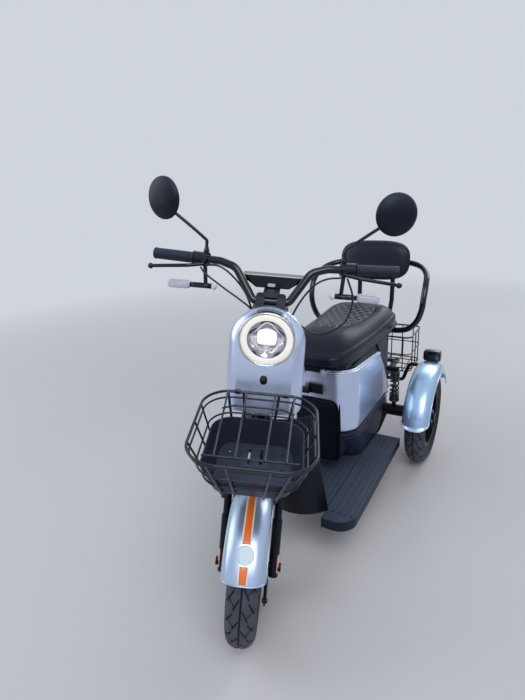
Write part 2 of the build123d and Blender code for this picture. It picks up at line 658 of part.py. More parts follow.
def main_frame():
    """Head tube, down tube, two rails that kick up behind, posts, seat rails, stays and cross rods."""
    low, high = HEAD_TUBE_Z
    def on_axis(z):
        return (0, axis_y(z), z)
    pieces = [rod(on_axis(low), on_axis(high), HEAD_TUBE_R), down_tube(DOWN_R)]
    rail_end = REAR_BASKET[1][1] - 20
    guard_in = REAR_GUARD_X - REAR_GUARD_W / 2 - SEAT_GAP
    seat_rail = (POST_X, POST_Y[0] - 150, SEAT_RAIL_Z), (POST_X, KICK_Y[0] + 90, SEAT_RAIL_Z)
    for side, _ in SIDES:
        rail = [(RAIL_X, 392, RAIL_Z), (RAIL_X, KICK_Y[0], RAIL_Z), (RAIL_X, KICK_Y[1], KICK_Z),
                (RAIL_X, rail_end, KICK_Z)]
        spring_stay = [(RAIL_X, SHOCK_Y, KICK_Z), (SHOCK_X - 42, SHOCK_Y, SHOCK_TOP_Z),
                       (SHOCK_X + 16, SHOCK_Y, SHOCK_TOP_Z)]
        guard_stay = [(RAIL_X, STAY_Y, KICK_Z), (guard_in - 65.2, STAY_Y, KICK_Z),
                      (guard_in - 37.2, STAY_Y, GUARD_STAY_Z), (guard_in, STAY_Y, GUARD_STAY_Z)]
        pieces += [bent(flip(rail, side), RAIL_R, RAIL_BEND), rod(*flip(seat_rail, side), POST_R),
                   bent(flip(spring_stay, side), 10, 20), bent(flip(guard_stay, side), 8, 18)]
        for y in POST_Y:
            post = [(RAIL_X, y, RAIL_Z), (POST_X, y, 330), (POST_X, y, SEAT_RAIL_Z)]
            pieces.append(bent(flip(post, side), POST_R, 60))
    rail_in, post_in, board_in = RAIL_X - CROSS_INSET, POST_X - CROSS_INSET, BOARD_OUT - 10
    cross_rods = [(board_in, y, CROSS_Z, CROSS_R) for y in CROSS_Y]
    cross_rods += [(rail_in, y, KICK_Z, RAIL_R - 3) for y in (KICK_Y[1] + 18, STAY_Y, rail_end - 20)]
    cross_rods += [(rail_in, 404, RAIL_Z, RAIL_R - 1.5), (post_in, KICK_Y[0] + 70, SEAT_RAIL_Z, POST_R - 1.5)]
    pieces += [rod((-x, y, z), (x, y, z), radius) for x, y, z, radius in cross_rods]
    bearing = rod(on_axis(low - 40), on_axis(high + 40), STEERER_R + RUN_FIT)
    relief = rod(on_axis(low + 14), on_axis(high - 14), STEERER_R + 3)
    return fuse(pieces) - bearing - relief


def leg_shield():
    """Bowed panel behind the head tube, parallel to its rake, open round the down tube."""
    def band(y, inset):
        return [(-SHIELD_HALF_W + inset, y + SHIELD_BOW), (0, y), (SHIELD_HALF_W - inset, y + SHIELD_BOW)]
    a, m, b = band(0, 0)
    c, n, d = band(SHIELD_T, 0)
    face = make_face([ThreePointArc(a, m, b), Line(b, d), ThreePointArc(d, n, c), Line(c, a)])
    foot = Pos(0, SHIELD_FOOT_Y, FLOOR_Z + SEAT_GAP) * face
    top = SHIELD_TOP_Z - FLOOR_Z
    panel = extrude(foot, top / cos(atan2(SHIELD_SLOPE, 1)), dir=Vector(0, -SHIELD_SLOPE, 1))
    top_gap = block((-DOWN_R - 4, DOWN_R + 4), (100, 300), (HEAD_TUBE_Z[1] - 63, 700))
    sweep_room = rod((0, axis_y(480), 480), (0, axis_y(700), 700), STEERER_R + 16)
    return panel - down_tube(DOWN_R + SEAT_GAP) - top_gap - sweep_room


def floor_panel():
    """Flat floor between the boards with low ribs along it."""
    half, pitch = BOARD_IN - 4, 22
    plate = block((-half, half), FLOOR_Y, (FLOOR_Z - FLOOR_T, FLOOR_Z))
    ribs = [block((x - 4, x + 4), (400, SKIRT_FOOT[1] - 20), (FLOOR_Z - 1, FLOOR_Z + 2))
            for x in range(-4 * pitch, 5 * pitch, pitch)]
    return fuse([plate] + ribs) - down_tube(DOWN_R + SEAT_GAP)


def running_board(side):
    """Tray shaped board: rounded front corner, outer skirt and four long ribs."""
    (y0, y1), r = BOARD_Y, BOARD_CORNER
    bulge = r * (1 - cos(radians(45)))
    def plan(inset):
        x0, x1 = BOARD_IN, BOARD_OUT - inset
        a, b = y0 + inset, y1 - inset
        line = [Line((x0, a), (x1 - r, a)),
                ThreePointArc((x1 - r, a), (x1 - bulge, a + bulge), (x1, a + r)),
                Line((x1, a + r), (x1, b)), Line((x1, b), (x0, b)), Line((x0, b), (x0, a))]
        return make_face(line)
    low = FLOOR_Z - BOARD_DEPTH
    board = Pos(0, 0, low) * extrude(plan(0), BOARD_DEPTH)
    hollow = Pos(0, 0, low - 1) * extrude(plan(4), BOARD_DEPTH - BOARD_T + 1)
    hollow += block((BOARD_IN - 5, BOARD_IN + 20), (y0 + 4, y1 - 4), (low - 1, FLOOR_Z - BOARD_T))
    ribs = [block((x - 5, x + 5), (y0 + 45, y1 - 30), (FLOOR_Z - 1, FLOOR_Z + 2.5)) for x in BOARD_RIBS]
    board = fuse([board - hollow] + ribs)
    return board if side > 0 else mirror_x(board)


nodes["main_frame"] = main_frame()
nodes["leg_shield"] = leg_shield()
nodes["floor_panel"] = floor_panel()
for side, word in SIDES:
    nodes["running_board_" + word] = running_board(side)


# Pedestal under the seat

def plan_shape(z, front, rear, half, corner):
    """Rounded plan outline at a height."""
    return Pos(0, (front + rear) / 2, z) * RectangleRounded(2 * half, rear - front, corner)


def shell_of(sections, wall):
    """Open tube through rounded plan outlines."""
    outer = loft([plan_shape(*row) for row in sections], ruled=True)
    inner_rows = [(z, front + wall, rear - wall, half - wall, corner - wall)
                  for z, front, rear, half, corner in sections]
    first, last = inner_rows[0], inner_rows[-1]
    inner_rows[0] = (first[0] - 0.5,) + first[1:]
    inner_rows[-1] = (last[0] + 0.5,) + last[1:]
    return outer - loft([plan_shape(*row) for row in inner_rows], ruled=True)


def behind(line):
    """Everything behind a sloping line in (y, z)."""
    (y0, z0), (y1, z1) = line
    slope = (y1 - y0) / (z1 - z0)
    low, high = y0 + slope * (150 - z0), y0 + slope * (700 - z0)
    return slab(Polyline((low, 150), (high, 700), (1300, 700), (1300, 150), close=True), 300)


def body_pieces():
    """Painted cover and dark plinth: one barrel split by a level seam and a leaning rear edge."""
    shell = shell_of((SKIRT_FOOT,) + BODY_SECTIONS, BODY_WALL)
    seam = BODY_SECTIONS[0][0]
    cover = (shell - behind(BODY_REAR_CUT)) & block((-300, 300), (0, 2000), (seam, 900))
    gap_line = [(y + SEAT_GAP, z) for y, z in BODY_REAR_CUT]
    front_upper = block((-300, 300), (0, 2000), (seam - SEAT_GAP, 900)) - behind(gap_line)
    way_y = (KICK_Y[0] - 25, KICK_Y[0] + 115)
    arm_out, post_out = ARM_X + ARM_R + 4, POST_X + POST_R + 2
    rear_way = block((-arm_out, arm_out), way_y, (100, 350))
    rail_way = block((-post_out, post_out), way_y, (SEAT_RAIL_Z - POST_R - 2, 900))
    return cover, shell - front_upper - rear_way - rail_way


def front_box():
    """Stepped dark box on the front of the pedestal."""
    y0, y1 = BOX_Y
    z0, z1 = BOX_Z
    def shape(step, y):
        face = RectangleRounded(2 * (BOX_X - step), z1 - z0 - 2 * step, 30)
        return Plane(origin=(0, y, (z0 + z1) / 2), z_dir=(0, 1, 0), x_dir=(1, 0, 0)) * face
    step = 7
    box = extrude(shape(0, y0 + 2 * step), y1 - y0 - 2 * step)
    box += extrude(shape(step, y0 + step), step + 3)
    box += extrude(shape(2 * step, y0), step + 3)
    outer = loft([plan_shape(*row) for row in BODY_SECTIONS], ruled=True)
    skirt = loft([plan_shape(*row) for row in (SKIRT_FOOT, BODY_SECTIONS[0])], ruled=True)
    return box - outer - skirt


def hook_plate():
    """Bag hook and socket cover on the front of the cover, above the box."""
    plate = block((-26, 26), (528, 560), (520, 556))
    outer = loft([plan_shape(*row) for row in BODY_SECTIONS], ruled=True)
    barrel = rod((-48, 524, 530), (-22, 524, 530), 12)
    return fuse([plate, barrel]) - outer


nodes["body_shell"], nodes["body_skirt"] = body_pieces()
nodes["front_box"] = front_box()
nodes["hook_plate"] = hook_plate()
kick_turn = atan2(KICK_Z - RAIL_Z, KICK_Y[1] - KICK_Y[0])
battery_rear = KICK_Y[0] - corner_run(RAIL_BEND, kick_turn) - 6
nodes["battery_pack"] = block((-BATTERY_HALF_W, BATTERY_HALF_W), (POST_Y[0] + POST_R + 6, battery_rear),
                              (RAIL_Z + RAIL_R + SEAT_GAP, BATTERY_TOP_Z))


# Seat, backrest and armrests

def seat_plan(z, half_front, half_rear, y0, y1, corner):
    """Plan outline: rounded front, wider towards the rear."""
    left = [(half_front, y0), (half_rear, y1 - 130), (half_rear - 8, y1)]
    right = [(-x, y) for x, y in reversed(left)]
    wire = FilletPolyline(right[-1], *left, *right[:-1], radius=corner, close=True)
    return Pos(0, 0, z) * make_face(wire)


def seat_cushion():
    """Foam block: its sides swell out to the shoulder and its top is smaller."""
    low = seat_plan(SEAT_BASE_Z + PAN_T, 118, 150, SEAT_Y[0], SEAT_Y[1], 40)
    mid = seat_plan(SEAT_TOP_Z - 35, 126, 156, SEAT_Y[0] - 8, SEAT_Y[1] + 4, 44)
    top = seat_plan(SEAT_TOP_Z, 100, 128, SEAT_Y[0] + 22, SEAT_Y[1] - 26, 36)
    return loft([low, mid], ruled=True) + loft([mid, top], ruled=True)


def seat_pan():
    """Moulded base under the cushion with the hinge knuckle."""
    pan = extrude(seat_plan(SEAT_BASE_Z, 112, 144, SEAT_Y[0] + 5, SEAT_Y[1] - 6, 38), PAN_T - SEAT_GAP)
    knuckle = rod((-28, HINGE_Y, HINGE_Z), (28, HINGE_Y, HINGE_Z), 7)
    knuckle += block((-28, 28), (HINGE_Y - 6, HINGE_Y + 4), (HINGE_Z, SEAT_BASE_Z + 1))
    return (pan + knuckle) - rod((-60, HINGE_Y, HINGE_Z), (60, HINGE_Y, HINGE_Z), HINGE_PIN_R + RUN_FIT)


def seat_hinge():
    """Pin between two ears on a plate against the front of the cover."""
    wall = BODY_SECTIONS[-1][1]
    pin = rod((-38, HINGE_Y, HINGE_Z), (38, HINGE_Y, HINGE_Z), HINGE_PIN_R)
    ears = [block((s * 34 - 4, s * 34 + 4), (HINGE_Y - 5, wall + 2), (HINGE_Z - 16, HINGE_Z + 5))
            for s in (-1, 1)]
    plate = block((-38, 38), (wall - 2, wall + 6), (HINGE_Z - 30, HINGE_Z - 10))
    outer = loft([plan_shape(*row) for row in BODY_SECTIONS], ruled=True)
    return fuse([pin, plate] + ears) - outer


def backrest_cushion():
    """Rounded pad with bevelled rims, leaning back."""
    y, z, half, height, thick = BACKREST
    pill = RectangleRounded(2 * half, height, 60)
    small = RectangleRounded(2 * half - 26, height - 26, 52)
    body = loft([Pos(0, 0, -thick / 2) * small, Pos(0, 0, -thick / 4) * pill], ruled=True)
    body += extrude(Pos(0, 0, -thick / 4) * pill, thick / 2)
    body += loft([Pos(0, 0, thick / 4) * pill, Pos(0, 0, thick / 2) * small], ruled=True)
    return Pos(0, y, z) * Rot(90 - BACKREST_TILT, 0, 0) * body


def backrest_frame():
    """Two posts from the rails to a plate behind the cushion, and the bar that joins the armrests."""
    y, z, _, _, thick = BACKREST
    tilt = radians(BACKREST_TILT)
    plate_t = 6
    off = thick / 2 + SEAT_GAP + plate_t / 2
    middle = Vector(0, y + off * cos(tilt), z - off * sin(tilt))
    plate = Pos(*middle) * Rot(-BACKREST_TILT, 0, 0) * Box(196, plate_t, 84)
    post = [(RAIL_X, y, KICK_Z + RAIL_R + SEAT_GAP), (RAIL_X, y + 4, 560), (RAIL_X + 13, y + 26, 700),
            (RAIL_X + 13, middle.Y + 5.6, middle.Z - 14)]
    posts = [bent(flip(post, side), 10, [120, 120]) for side, _ in SIDES]
    x, bar_y, bar_z = ARMREST_BAR
    return fuse([plate, rod((-x, bar_y, bar_z), (x, bar_y, bar_z), ARMREST_R)] + posts)


def armrest(side):
    """Tube loop from the backrest bar, round the seat's side and in under the seat."""
    x, y, z = ARMREST_BAR
    out_x, out_y = 246, y - 182
    points = [(x + SEAT_GAP, y, z), (186, y, z - 2), (out_x, y - 80, z - 28), (out_x, out_y, z - 76),
              (out_x, out_y, 680), (190, out_y + 4, 616), (POST_X + POST_R + 2, out_y + 10, 608)]
    return bent(flip(points, side), ARMREST_R, [45, 40, 40, 45, 30])


nodes["seat_cushion"] = seat_cushion()
nodes["seat_pan"] = seat_pan()
nodes["seat_hinge"] = seat_hinge()
nodes["backrest_cushion"] = backrest_cushion()
nodes["backrest_frame"] = backrest_frame()
for side, word in SIDES:
    nodes["armrest_" + word] = armrest(side)


# Rear end

def rear_axle():
    """Motor housing with axle tubes, brake plates, wheel stubs and trailing arms."""
    y, z = WHEELBASE, TYRE_R
    plate_in = REAR_HALF_TRACK - HUB_HALF_W - SEAT_GAP - BRAKE_GAP
    nut_in = REAR_HALF_TRACK + HUB_HALF_W + SEAT_GAP
    nut_out = nut_in + 10 - SEAT_GAP
    turned = [(-78, 70, MOTOR_R), (60, 84, 50), (2 - plate_in, plate_in - 2, 26),
              (3 - nut_out, nut_out - 3, REAR_AXLE_R)]
    for side, _ in SIDES:
        turned += [(side * (plate_in - 6), side * plate_in, DRUM_R), (side * nut_in, side * nut_out, 16)]
    pieces = [rod((x0, y, z), (x1, y, z), radius) for x0, x1, radius in turned]
    pivot_x = RAIL_X + RAIL_R + SEAT_GAP + ARM_R
    arm = [(ARM_X, y, z - 4), (ARM_X, y - 134, RAIL_Z), (pivot_x, y - 234, RAIL_Z)]
    for side, _ in SIDES:
        x = side * SHOCK_X
        pieces += [rod((x, y, z), (x, SHOCK_Y - 2, z + SHOCK_FOOT), 9), bent(flip(arm, side), ARM_R, 60)]
    return fuse(pieces)


def shock(side):
    """Spring damper: body between two cups, with the coil drawn as rings."""
    x = side * SHOCK_X
    top, low = SHOCK_TOP_Z - 10 - SEAT_GAP, TYRE_R + SHOCK_FOOT + 11
    core = rod((x, SHOCK_Y, low), (x, SHOCK_Y, top), COIL_R - COIL_WIRE_R - SEAT_GAP)
    cups = [rod((x, SHOCK_Y, z), (x, SHOCK_Y, z + 5), COIL_R + COIL_WIRE_R) for z in (low, top - 5)]
    pitch = (top - low - 24) / (COIL_TURNS - 1)
    coil = [Pos(x, SHOCK_Y, low + 12 + i * pitch) * Torus(COIL_R, COIL_WIRE_R) for i in range(COIL_TURNS)]
    return fuse([core] + cups + coil)


def rear_mudguard(side):
    """Arched guard over a rear wheel."""
    guard = arch(REAR_GUARD_R, REAR_GUARD_W, REAR_GUARD_SKIRT, REAR_GUARD_CORNER, GUARD_T, *REAR_GUARD_DEG)
    return Pos(side * REAR_GUARD_X, WHEELBASE, TYRE_R) * guard


def tail_lamp(side):
    """Lamp block on top of the mudguard, facing back."""
    x, crown_z = side * REAR_GUARD_X, TYRE_R + REAR_GUARD_R
    lamp = block((x - 38, x + 38), LAMP_BLOCK_Y, (crown_z - 24, crown_z + 36))
    return lamp - rod((x - 80, WHEELBASE, TYRE_R), (x + 80, WHEELBASE, TYRE_R), REAR_GUARD_R + SEAT_GAP)


def rear_basket():
    """Wire basket on the rear rails: three level rings, and bent wires across and along."""
    (x0, x1), (y0, y1), (z0, z1) = REAR_BASKET
    wires = []
    for z, radius in zip((z0, (z0 + z1) / 2, z1), REAR_WIRES):
        path = (Pos(0, (y0 + y1) / 2, z) * RectangleRounded(x1 - x0, y1 - y0, 30)).wire()
        wires.append(sweep(Plane(origin=path @ 0, z_dir=path % 0) * Circle(radius), path=path))
    for i in range(6):
        x = x0 + 35 + i * (x1 - x0 - 70) / 5
        wires.append(bent([(x, y0, z1), (x, y0, z0), (x, y1, z0), (x, y1, z1)], WIRE_R, 12))
    for i in range(3):
        y = y0 + 40 + i * (y1 - y0 - 80) / 2
        wires.append(bent([(x0, y, z1), (x0, y, z0), (x1, y, z0), (x1, y, z1)], WIRE_R, 12))
    return fuse(wires)


nodes["rear_axle"] = rear_axle()
for side, word in SIDES:
    nodes["rear_shock_" + word] = shock(side)
    nodes["rear_mudguard_" + word] = rear_mudguard(side)
    nodes["tail_lamp_" + word] = tail_lamp(side)
nodes["rear_basket"] = rear_basket()

# Turn the steering group, set the tyre on the floor and centre the part
for name in steer_group:
    nodes[name] = nodes[name].rotate(STEER_AXIS, STEER_TURN)
drop = nodes["front_tyre"].bounding_box().min.Z
for name in steer_group:
    nodes[name] = Pos(0, -drop * RAKE_TAN, -drop) * nodes[name]

box = Compound([s for piece in nodes.values() for s in piece.solids()]).bounding_box()
shift = Pos(-(box.min.X + box.max.X) / 2, -(box.min.Y + box.max.Y) / 2, 0)
os.makedirs("parts", exist_ok=True)
for name, piece in nodes.items():
    solids = (shift * piece).solids()
    export_step(solids[0] if len(solids) == 1 else Compound(solids), "parts/" + name + ".step")
print("front tyre drop", drop, "shift", shift, "size", box.size)
print(len(nodes), "nodes")
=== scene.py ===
# %% [markdown]
# # An electric three-wheeled scooter, dressed over its rigid model
# The real scooter is a steel frame with bolted-on covers, lamps, baskets and a foam seat.  The
# rigid pieces are loaded first and stay where they are.  What they lack is made here: soft goods,
# rolled sheet-metal edges, tread, coils, lamps and every finish.

# %% Load the rigid model
import json
import math
import bpy
import numpy as np
from mathutils import Matrix

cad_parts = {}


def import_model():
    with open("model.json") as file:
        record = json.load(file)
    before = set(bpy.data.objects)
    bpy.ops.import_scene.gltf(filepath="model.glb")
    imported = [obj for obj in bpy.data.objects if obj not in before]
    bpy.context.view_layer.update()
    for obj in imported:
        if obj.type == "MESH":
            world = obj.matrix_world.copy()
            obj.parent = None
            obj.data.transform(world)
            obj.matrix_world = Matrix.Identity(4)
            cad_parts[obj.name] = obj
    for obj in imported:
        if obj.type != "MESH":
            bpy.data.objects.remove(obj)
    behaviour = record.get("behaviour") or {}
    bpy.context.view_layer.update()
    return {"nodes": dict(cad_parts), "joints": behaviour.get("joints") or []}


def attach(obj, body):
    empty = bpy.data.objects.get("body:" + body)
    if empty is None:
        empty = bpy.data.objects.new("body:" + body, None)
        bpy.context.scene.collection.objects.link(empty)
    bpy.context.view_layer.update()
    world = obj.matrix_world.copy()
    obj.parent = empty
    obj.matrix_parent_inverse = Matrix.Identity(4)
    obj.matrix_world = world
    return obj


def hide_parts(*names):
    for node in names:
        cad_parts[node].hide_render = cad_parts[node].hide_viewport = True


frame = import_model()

nodes = frame["nodes"]
print("rigid model:", len(nodes), "pieces")

# %% [markdown]
# ## Places
# Shapes are worked out in millimetres in the vehicle's own frame: the origin lies on the ground
# under the straight front axle, Y runs to the rear, Z up and +X to the rider's left.  The parked
# steering is turned about a raked axis, so each steering piece is worked out straight ahead and
# then turned with Rodrigues' formula.  Nothing is turned as an object, so every object sits at
# the origin and its place is in its mesh.

# %% Places and turning
MM = 0.001
WHEELBASE, HALF_TRACK, TYRE_R = 1114.0, 265.0, 210.0
RAKE, STEER_TURN = math.radians(16.1), math.radians(25.6)
SIDES = ((-1, "right"), (1, "left"))
AXLE_OFFSET = 30.0      # from the steering axis forward to the axle, square to the axis
LET_DOWN = 0.3037       # the turned wheel rises by this much and is let down again

joints = {joint["name"]: joint for joint in frame["joints"]}
SHIFT = np.array(joints["rear_spin_left"]["pos_m"]) - np.array([HALF_TRACK, WHEELBASE, TYRE_R]) * MM
AXIS = np.array([0.0, math.sin(RAKE), math.cos(RAKE)])


def axis_y(z):
    """Place along the vehicle of the steering axis at a height."""
    return AXLE_OFFSET / math.cos(RAKE) + (z - TYRE_R) * math.tan(RAKE)


def steered(points):
    """Rodrigues: v cos a + (k x v) sin a + k (k . v)(1 - cos a), about the raked axis."""
    foot = np.array([0.0, axis_y(TYRE_R), TYRE_R])
    v = np.asarray(points, float) - foot
    along = (v @ AXIS)[..., None] * AXIS
    turned = v * math.cos(STEER_TURN) + np.cross(AXIS, v) * math.sin(STEER_TURN)
    turned = turned + along * (1 - math.cos(STEER_TURN))
    return turned + foot - AXIS / AXIS[2] * LET_DOWN


def world(points, body="chassis"):
    """Vehicle millimetres to frame metres, turned first on the bodies that steer."""
    points = steered(points) if body in ("steering", "front_wheel") else np.asarray(points, float)
    return points * MM + SHIFT


print("vehicle origin in the frame:", SHIFT.round(4))

# %% [markdown]
# ## The camera
# The photograph was taken from standing height, ahead and a little to the rider's left, with a
# wide lens.  Its place and turn were solved from the wheels, mirrors, lamp and bars.

# %% Camera
CAMERA_AT = np.array([641.947, -912.348, 1252.313])
CAMERA_RIGHT = np.array([0.86981684, 0.49031488, -0.05486328])
CAMERA_DOWN = np.array([0.1199156, -0.31796484, -0.94048849])
CAMERA_AHEAD = np.array([-0.4785801, 0.81147377, -0.33536758])
LENS_MM, FILM_MM = 24.906, 36.0

scene = bpy.context.scene


def placed(right, up, back, at):
    """A 4 x 4 matrix whose columns are three axes and a place."""
    made = np.eye(4)
    made[:3] = np.stack([right, up, back, at], axis=1)
    return Matrix(made.tolist())


lens = bpy.data.cameras.new("camera")
lens.sensor_fit, lens.sensor_width, lens.lens = "AUTO", FILM_MM, LENS_MM
lens.clip_start = 0.01
camera = bpy.data.objects.new("camera", lens)
scene.collection.objects.link(camera)
camera.matrix_world = placed(CAMERA_RIGHT, -CAMERA_DOWN, -CAMERA_AHEAD, world(CAMERA_AT))
scene.camera = camera
scene.view_settings.view_transform = "Standard"
print("camera at", world(CAMERA_AT).round(3))

# %% [markdown]
# ## Grids of points
# A surface is a grid of points that a formula gives for two parameters.  Neighbours in the grid
# share a quad, and a closed end is a fan round one more point.

# %% Grids and fans
def grid(x, y, z):
    """Three arrays of coordinates, spread over one grid, as its points."""
    return np.stack(np.broadcast_arrays(x, y, z), axis=-1)


def full_turn(sides):
    """The angles of one turn, which ends a step short of its start."""
    return np.linspace(0, 2 * np.pi, sides, endpoint=False)


def signed_power(value, power):
    """A power that keeps the sign."""
    return np.sign(value) * np.abs(value) ** power


def superellipse(sides, power_x, power_y):
    """The cosine and sine of one turn, each raised to a power: the lower, the squarer."""
    turn = full_turn(sides)
    return signed_power(np.cos(turn), power_x), signed_power(np.sin(turn), power_y)


def quads(rows, cols, wrap_rows=False, wrap_cols=False):
    """Quads between the neighbours of a grid; wrap joins its last line to its first."""
    r = np.arange(rows if wrap_rows else rows - 1)
    c = np.arange(cols if wrap_cols else cols - 1)
    r, c = (a.ravel() for a in np.meshgrid(r, c, indexing="ij"))
    r2, c2 = (r + 1) % rows, (c + 1) % cols
    return np.stack([r * cols + c, r * cols + c2, r2 * cols + c2, r2 * cols + c], axis=1)


def fan(ring, hub):
    """Triangles from a closed ring of point numbers to a hub point."""
    return np.stack([ring, np.roll(ring, -1), np.full(len(ring), hub)], axis=1)


def capped(spots, first=None, last=None):
    """Points and faces of a stack of rings, with a fan over its first and over its last ring."""
    rows, sides = spots.shape[:2]
    hubs = [spots[0].mean(axis=0) if first is None else first,
            spots[-1].mean(axis=0) if last is None else last]
    ring = np.arange(sides)
    faces = [quads(rows, sides, wrap_cols=True), fan(ring[::-1], rows * sides),
             fan(ring + (rows - 1) * sides, rows * sides + 1)]
    return np.vstack([spots.reshape(-1, 3), hubs]), faces


print("a ring of 8:", len(fan(np.arange(8), 8)), "triangles to its hub")

# %% Pieces
def piece(name, points, faces, finish, body, slot, replaces=(), uv=None, centre=None, smooth=True,
          wall=0.0):
    """One object from vehicle millimetres: its faces are turned away from `centre`, the mean point
    if none is given, and an open sheet gets a `wall` inwards."""
    faces = [quads(*points.shape[:2])] if faces is None else faces
    points = world(np.reshape(points, (-1, 3)), body)
    mesh = bpy.data.meshes.new(name)
    listed = [row for block in faces for row in np.asarray(block).tolist()]
    mesh.from_pydata(points.tolist(), [], listed)
    mesh.update()
    spots = np.zeros(len(mesh.polygons) * 3)
    normals, areas = spots.copy(), np.zeros(len(mesh.polygons))
    mesh.polygons.foreach_get("center", spots)
    mesh.polygons.foreach_get("normal", normals)
    mesh.polygons.foreach_get("area", areas)
    middle = points.mean(axis=0) if centre is None else world(centre, body)
    spread = ((spots.reshape(-1, 3) - middle) * normals.reshape(-1, 3)).sum(axis=1) @ areas
    if spread < 0:
        mesh.flip_normals()
    if uv is not None:
        corners = np.zeros(len(mesh.loops), int)
        mesh.loops.foreach_get("vertex_index", corners)
        layer = mesh.uv_layers.new(name="surface")
        layer.data.foreach_set("uv", uv[corners].ravel())
    mesh.polygons.foreach_set("use_smooth", np.full(len(mesh.polygons), smooth))
    mesh.materials.append(finish.material)
    made = bpy.data.objects.new(name, mesh)
    scene.collection.objects.link(made)
    if replaces:
        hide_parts(*replaces)
    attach(made, body)
    if wall:
        solid = made.modifiers.new("wall", "SOLIDIFY")
        solid.thickness, solid.offset = wall * MM, -1.0
    return made


# %% [markdown]
# ### Bars, turned shapes and domes
# A bar is a stack of rings square to its path, a turned shape is a profile spun about Z, and a
# small dome is a superellipse that rises as a circle does.

# %% Bars, turned shapes and domes
def tube_points(path, radius, sides, closed=False):
    """Rings round a path: the tangent is its gradient, the ring lies square to it."""
    path = np.asarray(path, float)
    if closed:
        tangent = np.roll(path, -1, axis=0) - np.roll(path, 1, axis=0)
    else:
        tangent = np.gradient(path, axis=0)
    tangent /= np.linalg.norm(tangent, axis=1)[:, None]
    spare = np.eye(3)[np.argmin(np.abs(tangent).max(axis=0))]
    side = np.cross(tangent, spare)
    side /= np.linalg.norm(side, axis=1)[:, None]
    over = np.cross(tangent, side)
    turn = full_turn(sides)[:, None]
    ring = side[:, None] * np.cos(turn) + over[:, None] * np.sin(turn)
    return path[:, None] + ring * np.broadcast_to(radius, (len(path),))[:, None, None]


def tube(name, path, radius, finish, body, slot, sides=12, closed=False, **more):
    """A round bar along a path, its ends closed by fans."""
    rings = tube_points(path, radius, sides, closed)
    if closed:
        points, faces = rings, [quads(len(rings), sides, wrap_rows=True, wrap_cols=True)]
    else:
        points, faces = capped(rings, path[0], path[-1])
    return piece(name, points, faces, finish, body, slot, **more)


def smooth_path(knots, per_run=14):
    """Catmull-Rom: each run is a cubic whose slopes are half the chord of its neighbours."""
    p = np.asarray(knots, float)
    p = np.vstack([2 * p[0] - p[1], p, 2 * p[-1] - p[-2]])
    t = np.linspace(0, 1, per_run, endpoint=False)[:, None]
    a, b, c, d = p[:-3, None], p[1:-2, None], p[2:-1, None], p[3:, None]
    curve = b + 0.5 * t * (c - a + t * (2 * a - 5 * b + 4 * c - d + t * (3 * (b - c) + d - a)))
    return np.vstack([curve.reshape(-1, 3), p[-2]])


def lathe_points(profile, sides):
    """A (radius, along) profile turned about the Z axis."""
    radius, along = np.asarray(profile, float).T[..., None]
    turn = full_turn(sides)
    return grid(radius * np.cos(turn), radius * np.sin(turn), along)


def domed_patch(name, at, right, up, half, rise, square, finish, body, slot):
    """A small domed plate: superellipse outline, and a height of rise * sqrt(1 - r^2)."""
    right, up = (np.asarray(v, float) / np.linalg.norm(v) for v in (right, up))
    out = np.cross(right, up)
    r = np.sin(np.linspace(np.pi / 2, 0.08, 9))[:, None]
    x, z = (length * wave * r for length, wave in zip(half, superellipse(48, square, square)))
    spots = at + grid(x, z, rise * np.sqrt(1 - r ** 2)) @ np.array([right, up, out])
    return piece(name, *capped(spots, first=at - 1.5 * out), finish, body, slot)


def joined(parts):
    """Several (points, faces) blocks as one, with their point numbers moved on."""
    points, faces, count = [], [], 0
    for block, block_faces in parts:
        points.append(block.reshape(-1, 3))
        faces += [rows + count for rows in block_faces]
        count += len(points[-1])
    return np.vstack(points), faces


bend = smooth_path([[0, 0, 0], [1, 0, 0], [1, 1, 0]])
print("a smooth path through 3 places:", len(bend), "points")


# %% [markdown]
# ## Finishes
# Each finish is a Principled shader with a little arithmetic on noise.  Written as node calls,
# such arithmetic is hard to read, so a small class wraps a socket and overloads + - * /, and an
# expression such as `1 - mask * 0.5` adds its Math nodes by itself.  The world uses them too.

# %% Shader arithmetic
class Value:
    """An output socket of a node tree, for expressions."""
    def __init__(self, owner, socket):
        self.owner, self.socket = owner, socket

    def math(self, operation, *others):
        """Adds a Math node on this value and others."""
        return self.owner.node("ShaderNodeMath", {"operation": operation}, (self,) + others)

    def __add__(self, other): return self.math("ADD", other)
    def __sub__(self, other): return self.math("SUBTRACT", other)
    def __mul__(self, other): return self.math("MULTIPLY", other)
    def __truediv__(self, other): return self.math("DIVIDE", other)
    def __rsub__(self, other): return (self * -1.0).math("ADD", other)
    def __gt__(self, other): return self.math("GREATER_THAN", other)
    def __lt__(self, other): return self.math("LESS_THAN", other)
    __radd__, __rmul__ = __add__, __mul__

    def frac(self): return self.math("FRACT")
    def abs(self): return self.math("ABSOLUTE")
    def most(self, other): return self.math("MAXIMUM", other)
    def least(self, other): return self.math("MINIMUM", other)


